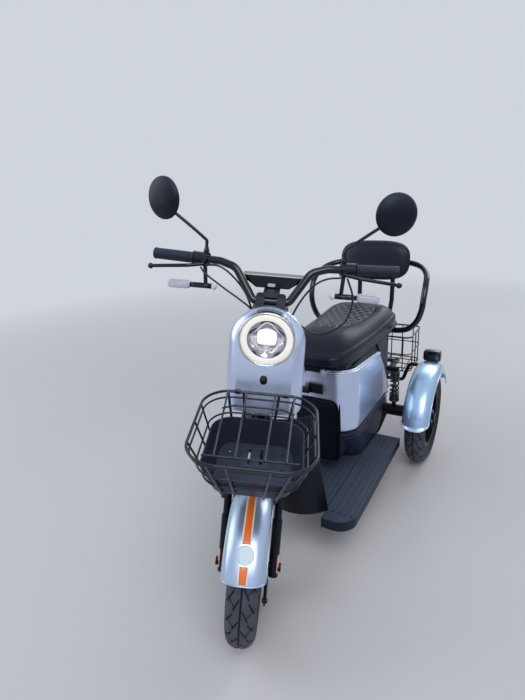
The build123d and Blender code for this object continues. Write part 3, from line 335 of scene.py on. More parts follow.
class Nodes:
    """The node tree of a material or world, its main shader, and one method that adds any node."""
    def __init__(self, owner, shader):
        owner.use_nodes = True
        self.tree = owner.node_tree
        self.shader = self.tree.nodes[shader]

    def put(self, socket, value):
        """Sets a socket of the shader, or links an expression to it."""
        target = self.shader.inputs[socket]
        if isinstance(value, Value):
            self.tree.links.new(value.socket, target)
        else:
            target.default_value = value

    def node(self, kind, settings=None, inputs=(), output=0):
        """Adds a node: its settings first, then its input values or links, by order or by name."""
        made = self.tree.nodes.new(kind)
        for key, value in (settings or {}).items():
            setattr(made, key, value)
        pairs = inputs.items() if isinstance(inputs, dict) else enumerate(inputs)
        for key, value in pairs:
            if isinstance(value, Value):
                self.tree.links.new(value.socket, made.inputs[key])
            else:
                made.inputs[key].default_value = value
        return Value(self, made.outputs[output])

    def where(self):
        """Object coordinates, in metres."""
        return self.node("ShaderNodeTexCoord", output="Object")

    def across(self, vector):
        """X, Y and Z of a vector."""
        split = self.node("ShaderNodeSeparateXYZ", inputs=(vector,))
        return [Value(self, split.socket.node.outputs[i]) for i in range(3)]

    def noise(self, scale, detail=2.0):
        """Noise on object coordinates: `scale` is its cells a metre."""
        inputs = {"Vector": self.where(), "Scale": scale, "Detail": detail}
        return self.node("ShaderNodeTexNoise", inputs=inputs)

    def mix(self, share, low, high):
        """Blends two colours by a share."""
        low, high = [(*c, 1.0) if isinstance(c, tuple) and len(c) == 3 else c for c in (low, high)]
        made = self.tree.nodes.new("ShaderNodeMix")
        made.data_type = "RGBA"
        for key, value in (("Factor", share), ("A", low), ("B", high)):
            sockets = [s for s in made.inputs if s.name == key and s.enabled]
            if isinstance(value, Value):
                self.tree.links.new(value.socket, sockets[0])
            else:
                sockets[0].default_value = value
        return Value(self, [s for s in made.outputs if s.enabled][0])

    def bump(self, height, depth, strength=1.0):
        """Tilts the normal by a height, `depth` metres high."""
        inputs = {"Height": height, "Distance": depth, "Strength": strength}
        self.put("Normal", self.node("ShaderNodeBump", inputs=inputs))


# %% [markdown]
# ### Finishes from noise
# Nothing real has one even colour and gloss, so even the plainest finish varies a little.

# %% Finish helpers
class Finish(Nodes):
    """A material with a Principled shader; further sockets are named with _ for spaces."""
    def __init__(self, name, colour, rough, **plain):
        self.material = bpy.data.materials.new(name)
        super().__init__(self.material, "Principled BSDF")
        self.put("Base Color", (*colour, 1.0))
        self.put("Roughness", rough)
        for socket, value in plain.items():
            self.put(socket.replace("_", " "), value)


def evenly(name, colour, low, spread, scale, **plain):
    """One colour, whose roughness is low + spread * noise."""
    made = Finish(name, colour, low, **plain)
    made.put("Roughness", low + made.noise(scale) * spread)
    return made


def flecked(name, first, second, rough, scale, detail=2.0, **plain):
    """Two colours blended by a noise, under one gloss."""
    made = Finish(name, first, rough, **plain)
    made.put("Base Color", made.mix(made.noise(scale, detail), first, second))
    return made


def dress(finish, *names):
    """Gives rigid pieces a finish."""
    for name in names:
        slots = nodes[name].data.materials
        slots.clear()
        slots.append(finish.material)


# %% [markdown]
# ### Lacquer
# The covers are sprayed silver blue under clear lacquer: a metallic base with fine flakes, which
# are a little noise in colour and gloss, and a smooth clear coat above.  The guards wear copies of
# the same lacquer in other tones: the front guard's is darker, a painted shade for its crown, on
# which the light falls from above, and the rear guards' is bluer.

# %% Lacquer finishes
def lacquer(name, colour, deep):
    """Half flakes and half broad drift blend a deep and a light colour."""
    paint = Finish(name, colour, 0.34, Metallic=0.72, Coat_Weight=0.85, Coat_Roughness=0.05)
    flakes = paint.noise(1900.0, 1.0)
    drift = paint.noise(3.0, 2.0)
    paint.put("Base Color", paint.mix(flakes * 0.5 + drift * 0.5, deep, colour))
    paint.put("Roughness", 0.24 + flakes * 0.12)
    return paint


silver = lacquer("silver_blue_lacquer", (0.66, 0.75, 0.98), (0.54, 0.64, 0.90))
# a darker copy of the silver: painted shade on the front guard
silver_guard_shaded_copy = lacquer("front_guard_lacquer_shaded_copy", (0.48, 0.61, 0.80), (0.41, 0.53, 0.74))
silver_rear = lacquer("rear_guard_lacquer", (0.47, 0.68, 0.93), (0.37, 0.56, 0.84))
orange = flecked("orange_stripe", (0.78, 0.13, 0.008), (0.92, 0.21, 0.016), 0.38, 55.0, 3.0,
                 Coat_Weight=0.5)
white_line = evenly("white_stripe_border", (0.80, 0.81, 0.83), 0.32, 0.2, 60.0, Coat_Weight=0.4)
pale_disc = evenly("pale_disc", (0.52, 0.68, 0.80), 0.28, 0.2, 40.0, Coat_Weight=0.5)
# The rolled lips are paler than the lacquer: a painted highlight along the rolled edge.
lip_painted_highlight = evenly("rolled_lip_painted_highlight", (0.72, 0.77, 0.84), 0.16, 0.1, 90.0, Metallic=0.5,
                    Coat_Weight=0.8)
print("painted finishes:", len(bpy.data.materials))

# %% [markdown]
# ### Black parts
# Most of the scooter is black, so the blacks must differ: grained moulding, gloss powder coat on
# bars and tubes, wire coat, rubber, and leathery seat cover.  What faces up is lightened to a
# bluish grey: partly dust, partly a painted sheen of the open sky.  The gloss is tinted as an open
# sky tints it.

# %% Black finishes
# dust with a painted sheen of the open sky: the colour that what faces up is lightened towards
DUST_AND_SKY_SHEEN = (0.060, 0.075, 0.116)        # bluish, as it looks under an open sky
SKY_TINT = (0.68, 0.81, 1.0, 1.0)


def grained(name, colour, rough, grain, depth, dust_and_sheen=0.0, **plain):
    """A moulded surface: fine noise as bump, broad noise as wear, and dust with a painted sky sheen
    on what faces up.
    """
    made = Finish(name, colour, rough, Specular_IOR_Level=0.2, Specular_Tint=SKY_TINT, **plain)
    fine, broad = made.noise(grain, 3.0), made.noise(7.0, 4.0)
    look = made.mix(broad * 0.6, colour, tuple(c * 1.7 + 0.003 for c in colour))
    if dust_and_sheen:
        # painted sky sheen with some real dust: what faces up is lightened towards the bluish
        # colour
        up = made.across(made.node("ShaderNodeNewGeometry", output="Normal"))[2].most(0.0)
        look = made.mix(up * (0.7 + broad * 0.6) * dust_and_sheen, look, DUST_AND_SKY_SHEEN)
    made.put("Base Color", look)
    made.put("Roughness", rough - 0.08 + broad * 0.16)
    made.bump(fine, depth)
    return made


plastic = grained("grained_black_moulding", (0.003, 0.004, 0.008), 0.38, 900.0, 0.0002, dust_and_sheen=0.24)
# The skirt and floor mouldings are the black moulding made lighter and bluer: a painted sheen of
# the open sky on them.
skirt_sheen_plastic = grained("skirt_moulding_painted_sheen", (0.016, 0.021, 0.040), 0.40, 900.0, 0.0002, dust_and_sheen=0.5)
floor_sheen_plastic = grained("floor_moulding_painted_sheen", (0.011, 0.015, 0.027), 0.44, 700.0, 0.0003, dust_and_sheen=0.85)
tray_plastic = grained("tray_moulding", (0.014, 0.018, 0.032), 0.36, 800.0, 0.0002, dust_and_sheen=0.6)
gloss = grained("gloss_black_coat", (0.004, 0.004, 0.007), 0.16, 160.0, 0.00004, Coat_Weight=0.7)
wire_coat = grained("wire_coat", (0.003, 0.004, 0.009), 0.24, 300.0, 0.00005, dust_and_sheen=0.2,
                    Coat_Weight=0.4)
grip_rubber = grained("grip_rubber", (0.016, 0.019, 0.032), 0.46, 900.0, 0.0002, dust_and_sheen=0.45)
chassis_black = grained("chassis_black", (0.005, 0.005, 0.007), 0.40, 260.0, 0.0002, dust_and_sheen=0.2)
mirror_black = grained("mirror_moulding", (0.007, 0.008, 0.014), 0.40, 500.0, 0.0002, dust_and_sheen=0.5)
spring_coat = grained("spring_coat", (0.030, 0.031, 0.038), 0.30, 200.0, 0.0001, Coat_Weight=0.5)


def tyre_rubber():
    """Painted shade in the grooves, darker than the rubber's own black, and worn and dusty grey in
    patches on the crown.
    """
    made = Finish("tyre_rubber", (0.009, 0.010, 0.015), 0.5, Specular_IOR_Level=0.25)
    groove_shade, crown = made.across(made.node("ShaderNodeUVMap", {"uv_map": "surface"}))[:2]
    patchy, fine = made.noise(22.0, 5.0), made.noise(420.0, 3.0)
    worn = crown * (0.1 + patchy * 0.9)
    look = made.mix(worn.least(1.0), (0.007, 0.008, 0.013), (0.105, 0.112, 0.150))
    # painted shade: the grooves are darkened below the rubber's own black
    made.put("Base Color", made.mix(groove_shade.least(1.0), look, (0.0015, 0.0015, 0.003)))
    made.put("Roughness", 0.42 + patchy * 0.2 + groove_shade * 0.2)
    made.bump(fine, 0.0003)
    return made


rubber = tyre_rubber()
print("finishes with the black ones:", len(bpy.data.materials))

# %% [markdown]
# ### Metal, lamps and glass
# Small bright things catch the eye: zinc bolts, the lit white ring, the chrome bowl behind its
# clear cover, the mirror glass.  The lamp's cover is a nearly transparent sheet with gloss, which
# is quicker and cleaner than refraction.

# %% Bright finishes
def metal(name, colour, rough, grain=180.0):
    """Bare metal, whose colour and gloss follow one grain."""
    made = Finish(name, colour, rough, Metallic=1.0)
    streak = made.noise(grain, 3.0)
    made.put("Base Color", made.mix(streak, tuple(c * 0.8 for c in colour), colour))
    made.put("Roughness", rough - 0.06 + streak * 0.14)
    return made


zinc = metal("zinc_plate", (0.50, 0.51, 0.53), 0.32)
clamp_grey = metal("clamp_casting", (0.085, 0.090, 0.115), 0.42)
alloy = metal("wheel_casting", (0.045, 0.047, 0.056), 0.36)
bezel_silver = metal("lamp_bezel_silver", (0.74, 0.72, 0.68), 0.22)
chrome = metal("lamp_bowl_chrome", (0.62, 0.60, 0.66), 0.16, 60.0)
mirror_silver = metal("mirror_silvering", (0.82, 0.84, 0.87), 0.04, 8.0)


def glow(name, colour, strength):
    """A lit, milky cover, a little uneven."""
    made = Finish(name, tuple(c * 0.6 for c in colour), 0.35, Emission_Strength=strength)
    pattern = made.noise(14.0, 1.0)
    made.put("Emission Color", made.mix(pattern, tuple(c * 0.8 for c in colour), colour))
    return made


ring_light = glow("lit_ring", (1.0, 0.97, 0.91), 0.52)
beam_light = glow("lit_projector", (1.0, 1.0, 1.0), 0.95)
lamp_glass = Finish("lamp_cover", (0.85, 0.88, 0.92), 0.06, Coat_Weight=1.0, Coat_Roughness=0.02)
ripple = lamp_glass.noise(35.0, 1.0)
lamp_glass.put("Alpha", 0.10 + ripple * 0.08)
lamp_glass.bump(ripple, 0.00008)
signal_clear = flecked("signal_cover", (0.50, 0.48, 0.58), (0.68, 0.66, 0.76), 0.24, 160.0,
                       Coat_Weight=0.35, Coat_Roughness=0.15)
knob_white = evenly("white_knob", (0.80, 0.80, 0.84), 0.24, 0.14, 200.0, Coat_Weight=0.6)
red_lens = flecked("red_lens", (0.22, 0.006, 0.008), (0.36, 0.014, 0.016), 0.14, 120.0,
                   Coat_Weight=1.0)
amber = flecked("amber_reflector", (0.62, 0.24, 0.12), (0.90, 0.46, 0.30), 0.2, 400.0,
                Coat_Weight=1.0)
blank_pale = evenly("blank_pale_label", (0.62, 0.66, 0.74), 0.34, 0.14, 300.0, Coat_Weight=0.3)
print("finishes with the bright ones:", len(bpy.data.materials))

# %% [markdown]
# ### Dressing the rigid pieces
# The pieces that no mesh takes over keep their shape and only get a finish.

# %% Finishes on the rigid pieces
dress(plastic, "leg_shield", "front_box", "hook_plate", "seat_pan", "front_brake")
# the skirt and floor wear the lighter copies with the painted sky sheen
dress(skirt_sheen_plastic, "body_skirt")
dress(floor_sheen_plastic, "floor_panel", "running_board_left", "running_board_right")
dress(tray_plastic, "basket_tray")
dress(gloss, "handlebar", "backrest_frame", "display")
dress(wire_coat, "front_basket", "basket_lid", "rear_basket", "basket_bracket", "brake_lever_left",
      "brake_lever_right")
dress(chassis_black, "fork", "main_frame", "rear_axle", "battery_pack")
dress(alloy, "front_rim", "rear_rim_left", "rear_rim_right")
dress(clamp_grey, "bar_clamp")
dress(silver, "seat_hinge", "headlight_body")
dress(lamp_glass, "headlight_lens")
dressed = {row.name for node in nodes.values() for row in node.data.materials if row}
print("rigid pieces wear:", ", ".join(sorted(dressed)))

# %% [markdown]
# ## Tyres
# A scooter tyre has a round crown, bulged walls, one thin groove round the middle and slanting
# zigzag grooves.  The section is a superellipse turned about the axle, and the grooves are
# pressed into it where a saw-tooth of angle and width is near its middle.

# %% Tyres
TYRE_HALF_W, BEAD_R, BEAD_HALF = 42.3, 127.6, 28.6
WALL_R, CROWN_R = 163.0, 178.0
GROOVES_ROUND, GROOVE_DEPTH = 22, 3.2


def tread_depth(across, angle):
    """Groove depth: a centre line, and on each side a slanted zigzag line for each pitch."""
    run = angle * TYRE_R
    pitch = 2 * np.pi * TYRE_R / GROOVES_ROUND
    out = np.abs(across)
    half_step = np.where(across > 0, 0.5, 0.0)
    slant = 2.05 * out + 9.0 * (out > 20)
    phase = (run / pitch - slant / pitch + half_step) % 1.0
    zigzag = np.exp(-((phase - 0.5) * pitch / 3.4) ** 2) * (out > 4) * (out < 36)
    short = (run / pitch + 1.2 * out / pitch + half_step + 0.2) % 1.0
    sipe = 0.7 * np.exp(-((short - 0.5) * pitch / 2.4) ** 2) * (out > 16) * (out < 35)
    middle = np.exp(-(across / 2.0) ** 2)
    return GROOVE_DEPTH * np.maximum(np.maximum(zigzag, sipe), middle)


def tyre(name, centre, body, node):
    """Section: a superellipse from bead to bead, then straight across the bead seat.  Its UV map
    holds the groove depth, for a painted shade in the grooves, and the crown, for its worn grey."""
    angle = full_turn(620)[:, None]
    sweep = np.radians(np.concatenate([np.linspace(-90, -56, 8), np.linspace(-53, 53, 54),
                                       np.linspace(56, 90, 8)]))
    across = TYRE_HALF_W * signed_power(np.sin(sweep), 0.86)
    radius = WALL_R + (TYRE_R - WALL_R) * np.cos(sweep) ** 0.80
    bead_seat = np.array([[30.5, 141.0], [BEAD_HALF, 136.6], [BEAD_HALF, BEAD_R],
                          [-BEAD_HALF, BEAD_R], [-BEAD_HALF, 136.6], [-30.5, 141.0]])
    x = np.concatenate([across, bead_seat[:, 0]])
    r = np.concatenate([radius, bead_seat[:, 1]])
    tread = np.concatenate([np.ones(len(across)), np.zeros(len(bead_seat))])
    depth = tread_depth(x, angle) * tread * (r > CROWN_R)
    wall_ring = 0.9 * np.exp(-((r - 172) / 1.4) ** 2) * tread
    out = r + wall_ring - depth
    spots = grid(x, out * np.cos(angle), out * np.sin(angle)) + np.asarray(centre)
    crown = np.clip((out - CROWN_R) / 14, 0, 1)
    # the groove depth here carries the painted shade in the grooves
    looks = np.stack([1.5 * depth / GROOVE_DEPTH, crown], axis=-1).reshape(-1, 2)
    piece(name, spots, [quads(*out.shape, wrap_rows=True, wrap_cols=True)], rubber, body, "tyre",
          replaces=(node,), uv=looks)


tyre("tyre_front", (0, 0, TYRE_R), "front_wheel", "front_tyre")
for side, word in SIDES:
    tyre("tyre_rear_" + word, (side * HALF_TRACK, WHEELBASE, TYRE_R), "rear_wheel_" + word,
         "rear_tyre_" + word)
print("three tyres,", GROOVES_ROUND, "pitches round")

# %% [markdown]
# ## Mudguards
# Each guard is sheet metal rolled over its wheel: an arch of angle with a domed section.  The
# dome is half a superellipse, so the crown is soft and the skirts hang straight.  A bead follows
# the cut edge, as on any pressed guard.

# %% Mudguards
FRONT_HUB = (0.0, 0.0, TYRE_R)
FRONT_GUARD = (FRONT_HUB, 241.0, 112.0, 42.0)       # hub, crown radius, width, skirt
GUARD_X, GUARD_CROWN_R, GUARD_WALL = 270.0, 244.0, 2.4
SECTION_POWER = 2.7


def guard_points(centre, radius, half, skirt, turns, across, flare=0.0):
    """Angle about the axle by place across; the section falls as 1 - (1 - |s|^n)^(1/n)."""
    fall = skirt * (1 - (1 - np.abs(across) ** SECTION_POWER) ** (1 / SECTION_POWER))
    out, angle = radius - fall + flare, np.radians(turns)
    return grid(half * across, out * np.cos(angle), out * np.sin(angle)) + np.asarray(centre)


def guard(name, centre, radius, width, skirt, first, last, finish, body, node, drawn, curl):
    """The arch and its bead; each end is drawn back at the skirts, and the front end curls out."""
    t = np.sin(np.linspace(0, np.pi / 2, 110))[:, None]
    s = np.sin(np.linspace(-np.pi / 2, np.pi / 2, 49))[None, :]
    back = np.degrees(drawn / radius) * np.abs(s) ** 3
    turns = first + back + (last - first - 2 * back) * t
    left = np.radians(last - first) * radius * (1 - t)
    flare = curl * np.exp(-(left / 8.0) ** 2)
    points = guard_points(centre, radius, width / 2, skirt, turns, s, flare)
    piece(name, points, None, finish, body, "paint_silver", replaces=(node,), centre=centre,
          wall=GUARD_WALL)
    loop = np.vstack([points[:, 0], points[-1, 1:], points[-2::-1, -1], points[0, -2:0:-1]])
    tube(name + "_bead", loop, 1.9, finish, body, "paint_silver", sides=8, closed=True)
    return points


guard("guard_front", *FRONT_GUARD, 10.0, 147.0, silver_guard_shaded_copy, "steering", "front_mudguard", 7.0,
      0.0)
for side, word in SIDES:
    hub = (side * GUARD_X, WHEELBASE, TYRE_R)
    rear = guard("guard_rear_" + word, hub, GUARD_CROWN_R, 109.0, 46.0, 24.0, 170.0, silver_rear,
                 "chassis", "rear_mudguard_" + word, 22.0, 5.0)
    # the front lip of each rear guard, with a painted highlight
    tube("guard_lip_" + word, rear[-1, 4:-4], 3.8, lip_painted_highlight, "chassis", "paint_silver", sides=10)
print("guards:", rear.shape[0], "rows by", rear.shape[1])

# %% [markdown]
# ### Stripe and disc
# The stripe is a vinyl strip on the crown, orange between two white lines, broken by a pale
# round label without a mark.  Each is the guard's own formula lifted by a hair.

# %% Stripe and disc
STRIPE_HALF, LINE_W, STRIPE_LIFT, LABEL_WALL = 9.3, 3.2, 0.45, 0.25
STRIPE_RUNS = ((62.0, 124.2), (136.4, 146.0))       # degrees about the front hub
DISC_R, DISC_TURN, DISC_LIFT = 23.0, 130.3, 0.55


def lifted(lift, turns, across):
    """The front guard's own surface, `lift` above it."""
    hub, radius, width, skirt = FRONT_GUARD
    return guard_points(hub, radius + lift, width / 2, skirt, turns, across / (width / 2))


def strip(name, x0, x1, first, last, finish):
    """A patch of the guard between two places across and two angles."""
    turns, across = np.linspace(first, last, 60)[:, None], np.linspace(x0, x1, 7)
    piece(name, lifted(STRIPE_LIFT, turns, across), None, finish, "steering", "stripe_orange",
          centre=FRONT_HUB, wall=LABEL_WALL)


for index, (first, last) in enumerate(STRIPE_RUNS):
    strip(f"stripe_{index}", -STRIPE_HALF, STRIPE_HALF, first, last, orange)
    for side, word in SIDES:
        edges = sorted((side * STRIPE_HALF, side * (STRIPE_HALF + LINE_W)))
        strip(f"stripe_line_{index}_{word[0]}", *edges, first, last, white_line)

out, turn = np.linspace(0.02, 1, 12)[:, None] * DISC_R, full_turn(48)
disc_turns = DISC_TURN + np.degrees(out * np.sin(turn) / FRONT_GUARD[1])
disc = lifted(DISC_LIFT, disc_turns, out * np.cos(turn))
points = np.vstack([disc.reshape(-1, 3), disc[0].mean(axis=0)])
disc_faces = [quads(12, 48, wrap_cols=True), fan(np.arange(48)[::-1], 12 * 48)]
piece("blank_disc", points, disc_faces, pale_disc, "steering", "stripe_orange", centre=FRONT_HUB,
      wall=LABEL_WALL)
print("stripe in", len(STRIPE_RUNS), "runs, disc", 2 * DISC_R, "mm across")

# %% [markdown]
# ## Head cowl
# The cowl is an injection moulding: an arch in front view whose face bulges forward, flat enough
# in the middle to carry the lamp, with a soft crease each side and edges that roll back.  Its
# depth is a formula of s, the share of the way from the middle line to the outline.

# %% Head cowl
ARCH_R, ARCH_RISE, ARCH_Z, FOOT_Z, FOOT_HALF = 107.0, 101.0, 819.0, 636.0, 112.5
CREASE, ROLL_FROM, ROLL_WIDTH = 0.70, 0.80, 0.20
LAMP_Z, LAMP_HOLE = 843.0, 71.5
BACK_FOOT_Z, BACK_TOP_Z = 666.0, 884.0
LEAN_Z, LEAN_HEIGHT, LEAN = 640.0, 286.0, 68.0      # the front leans by 68 over 286
COWL_WALL = 2.5


def cowl_depth(s):
    """Flat middle, a slanted flank past the crease, and a rim that rolls back a quarter round."""
    middle = 1 - 0.07 * np.minimum(s / CREASE, 1) ** 2
    flank = 0.30 * np.clip((s - CREASE) / (1 - CREASE), 0, 1) ** 1.15
    roll = (1 - np.clip((s - ROLL_FROM) / ROLL_WIDTH, 0, 1) ** 2.4) ** (1 / 2.4)
    return (middle - flank) * roll


def cowl_half(z):
    """Half width at a height: straight leaning sides, then half an ellipse."""
    climb = (z - FOOT_Z) / (ARCH_Z - FOOT_Z)
    share = np.clip((z - ARCH_Z) / ARCH_RISE, 0.0, 1.0)
    straight = FOOT_HALF + (ARCH_R - FOOT_HALF) * climb
    return np.where(z < ARCH_Z, straight, ARCH_R * np.sqrt(1 - share ** 2))


def cowl_front_y(z):
    """The leaning front line, 118 at the foot and 186 at the top, bulged forward by 4."""
    share = (z - LEAN_Z) / LEAN_HEIGHT
    return 118.0 + LEAN * share - 4.0 * np.sin(np.pi * np.clip(share, 0, 1))


def cowl_rim_y(z):
    """The rim's line, 200 at the foot and 209 at the top."""
    return 200.0 + (z - LEAN_Z) * 9.0 / LEAN_HEIGHT


def cowl_points():
    """Rows of height, each from rim to rim: x is the half width times a, and y goes back from the
    front line to the rim's by 1 - depth(s), where s is |a| or, in the arch, its own radius."""
    low = np.linspace(FOOT_Z, ARCH_Z, 70, endpoint=False)
    high = ARCH_Z + ARCH_RISE * np.sin(np.linspace(0, np.pi / 2, 70))
    z = np.concatenate([low, high])[:, None]
    a = np.sin(np.linspace(-np.pi / 2, np.pi / 2, 141))[None, :]
    x = cowl_half(z) * a
    arch = np.minimum(np.hypot(x / ARCH_R, (z - ARCH_Z) / ARCH_RISE), 1.0)
    s = np.where(z < ARCH_Z, np.abs(a), arch)
    return grid(x, cowl_rim_y(z) - (cowl_rim_y(z) - cowl_front_y(z)) * cowl_depth(s), z)


def cowl_back_points():
    """Plan at each height: half an ellipse from the cowl's rim round behind the head tube."""
    z = np.linspace(BACK_FOOT_Z, BACK_TOP_Z, 60)[:, None]
    turn = np.linspace(-np.pi / 2, np.pi / 2, 71)
    rim = cowl_rim_y(z) + 0.6
    y = rim + (axis_y(z) + 41.5 - rim) * np.maximum(np.cos(turn), 0.0) ** 0.8
    return grid((cowl_half(z) - 5.0) * np.sin(turn), y, z)


# %% [markdown]
# ### The two skins
# The quads whose middles lie inside the lamp's hole are left out, and each skin gets its wall.

# %% Head cowl skins
cowl = cowl_points()
cowl_faces = quads(*cowl.shape[:2])
middles = cowl.reshape(-1, 3)[cowl_faces].mean(axis=1)
keep = np.hypot(middles[:, 0], middles[:, 2] - LAMP_Z) > LAMP_HOLE
piece("cowl_skin", cowl, [cowl_faces[keep]], silver, "steering", "paint_silver",
      replaces=("head_cowl",), centre=[0.0, 260.0, 760.0], wall=COWL_WALL)
piece("cowl_back_skin", cowl_back_points(), None, plastic, "steering", "plastic_black",
      replaces=("cowl_back",), centre=[0.0, 190.0, 770.0], wall=COWL_WALL)
print("cowl:", int(keep.sum()), "quads round the lamp's hole")

# %% [markdown]
# ### Headlight
# From outside in: a thin silver bezel, the lit white ring, and a chrome bowl round the bright
# projector.  All are turned profiles about the lamp's own line, which points straight ahead.

# %% Headlight
def lamp_part(name, profile, finish, slot, sides=72, hub=False, lobes=0.0):
    """Turned about the line ahead; `hub` closes the last ring, `lobes` presses in four cups."""
    x, z, depth = np.moveaxis(lathe_points(profile, sides), -1, 0)
    share = np.linspace(0, 1, len(profile))[:, None]
    depth = depth + lobes * np.cos(4 * np.arctan2(z, x)) * np.sin(np.pi * share)
    spots = grid(x, depth, LAMP_Z + z)
    points, faces = spots.reshape(-1, 3), [quads(len(profile), sides, wrap_cols=True)]
    if hub:
        last = (len(profile) - 1) * sides
        points = np.vstack([points, spots[-1].mean(axis=0)])
        faces.append(fan(np.arange(sides) + last, len(points) - 1))
    piece(name, points, faces, finish, "steering", slot)


def half_round(inner, outer, front, rise, back, steps=12):
    """A closed ring section: a half ellipse in front, flat behind."""
    t = np.linspace(0, np.pi, steps)
    middle, half = (inner + outer) / 2, (outer - inner) / 2
    arc = np.stack([middle - half * np.cos(t), front - rise * np.sin(t)], axis=1)
    return np.vstack([arc, [outer, back], [inner, back], arc[:1]])


lamp_part("lamp_bezel", half_round(71.0, 77.2, 150.0, 4.2, 166.0), bezel_silver, "steel")
lamp_part("lamp_ring", half_round(54.0, 70.8, 149.8, 2.6, 156.0), ring_light, "lens_clear")
bowl_line = np.linspace(0, 1, 24)
bowl = np.stack([53.0 - 27 * bowl_line ** 0.8, 151.5 + 24 * bowl_line ** 1.6], axis=1)
lamp_part("lamp_bowl", bowl, chrome, "steel", sides=128, hub=True, lobes=5.0)


def projector():
    """A rounded square dome: superellipse in front view, a quarter ellipse in depth."""
    r = np.sin(np.linspace(np.pi / 2, 0.05, 12))[:, None]
    x, z = superellipse(64, 0.62, 0.62)
    z = np.maximum(24.0 * z + 3.0, -17.0)
    spots = grid(27.0 * x * r, 160.0 - 7.0 * np.sqrt(1 - r ** 2), LAMP_Z + z * r)
    points, faces = capped(spots, first=[0, 172.0, LAMP_Z], last=[0, 153.0, LAMP_Z])
    piece("lamp_projector", points, faces, beam_light, "steering", "lens_clear")


projector()
print("lamp line at", LAMP_Z, "mm, bowl in", len(bowl), "rings")

# %% [markdown]
# ### Plain badge
# A small black oval stands on the cowl below the lamp.  It is plain.

# %% Badge
BADGE_Z = 731.0
badge_at = [0.0, cowl_front_y(BADGE_Z) - 0.4, BADGE_Z]
domed_patch("plain_badge", badge_at, [1, 0, 0], [0, LEAN, LEAN_HEIGHT], (10.5, 13.0), 1.6, 0.9,
            gloss, "steering", "plastic_gloss")
print("badge at", np.round(badge_at, 1))

# %% [markdown]
# ## Grips
# The grips are soft sleeves whose radius is a formula of place and angle: fine flutes along, fine
# rings round, a bulb at the end and a flange at the root.

# %% Grips
BAR_END, BAR_BEND = np.array([346.0, 312.0, 1021.0]), np.array([150.0, 272.8, 1021.0])
GRIP_LENGTH, GRIP_R = 124.0, 15.3


def grip(side, word):
    """Radius along the grip: an end bulb, fluted middle with fine rings, an inner flange."""
    flip = np.array([side, 1.0, 1.0])
    end, inner = BAR_END * flip, BAR_BEND * flip
    along = (inner - end) / np.linalg.norm(inner - end)
    level = np.cross(along, [0, 0, 1.0])
    t, turn = np.linspace(-4, GRIP_LENGTH, 150)[:, None], full_turn(96)
    fluted = (t > 10) * (t < 108)
    radius = GRIP_R + fluted * (0.35 * np.cos(24 * turn) + 0.25 * np.sin(t * 1.25))
    radius = radius + 1.1 * np.exp(-(t / 6.0) ** 2) + 4.6 * np.exp(-((t - 120) / 2.6) ** 4)
    radius = np.maximum(radius * np.clip((t + 4) / 3.0, 0.0, 1) ** 0.4, 0.05)
    local = grid(t, radius * np.cos(turn), radius * np.sin(turn))
    spots = end + local @ np.array([along, level, np.cross(level, along)])
    points, faces = capped(spots, end - along * 4, end + along * GRIP_LENGTH)
    piece("grip_sleeve_" + word, points, faces, grip_rubber, "steering", "grip_rubber",
          replaces=("grip_" + word,))


for side, word in SIDES:
    grip(side, word)
print("grips:", GRIP_LENGTH, "mm long,", 2 * GRIP_R, "mm thick")

# %% [markdown]
# ### Mirrors
# Domed shells on bent stems, whose glass looks to the rear.  Each is turned by its own angle.

# %% Mirrors
MIRROR_AT, MIRROR_R = np.array([315.0, 284.0, 1178.0]), 57.0
MIRROR_FOOT = np.array([192.0, 281.0, 1040.3])
MIRROR_FACING = {"right": math.radians(-31.0), "left": math.radians(12.0)}


def mirror_head(side, word):
    """The shell is a dome over the share r: depth 18 (1 - r^2.4)^(1/1.8), and a rim round the
    glass.  Its stem is a smooth path from the bar, and its ball joint half a circle, turned."""
    facing = MIRROR_FACING[word]
    right = np.array([math.cos(facing), math.sin(facing), 0.0])
    axes = np.array([right, [0, 0, 1], [-math.sin(facing), math.cos(facing), 0.0]])
    centre = MIRROR_AT * [side, 1, 1]
    r = np.sin(np.linspace(0.02, np.pi / 2, 26))
    dome = np.stack([r * MIRROR_R, 2.0 - 18.0 * (1 - r ** 2.4) ** (1 / 1.8)], axis=1)
    rim = ((MIRROR_R, 5.0), (MIRROR_R - 1.5, 6.0), (MIRROR_R - 4, 6.0), (MIRROR_R - 4.2, 3.6))
    shell = centre + lathe_points(np.vstack([dome, rim]), 72) @ axes
    piece("mirror_shell_" + word, *capped(shell), mirror_black, "steering", "plastic_black",
          replaces=("mirror_" + word,))
    glass_line = ((MIRROR_R - 4.3, 3.7), (MIRROR_R - 4.3, 5.0), (20.0, 4.6), (0.5, 4.5))
    glass = centre + lathe_points(glass_line, 72) @ axes
    piece("mirror_glass_" + word, *capped(glass), mirror_silver, "steering", "mirror_glass")

    foot = MIRROR_FOOT * [side, 1, 1]
    end = centre - side * 28.0 * right - [0, 0, 26.0]
    run = end - foot
    knots = [foot, foot + [0, 0, 18], foot + [0, 0, 32], foot + [0, 0, 38] + run * [0.05, 0.05, 0],
             (foot + [0, 0, 36]) * 0.6 + end * 0.4, end]
    tube("mirror_stem_" + word, smooth_path(knots), 4.6, gloss, "steering", "paint_black", sides=14)
    nut = np.linspace(0, 1, 8)[:, None] * [0, 0, 16.0] + foot
    tube("mirror_nut_" + word, nut, np.array([8, 8.6, 8.6, 8.6, 7.2, 7, 6.6, 5]), gloss, "steering",
         "paint_black", sides=6, smooth=False)
    ball = np.linspace(-1, 1, 9)
    socket = end + run / np.linalg.norm(run) * ball[:, None] * 9.0
    tube("mirror_socket_" + word, socket, 8.5 * np.sqrt(np.maximum(1 - ball ** 2, 0.02)) + 0.5,
         mirror_black, "steering", "plastic_black", sides=18)


for side, word in SIDES:
    mirror_head(side, word)
print("mirrors:", 2 * MIRROR_R, "mm across")

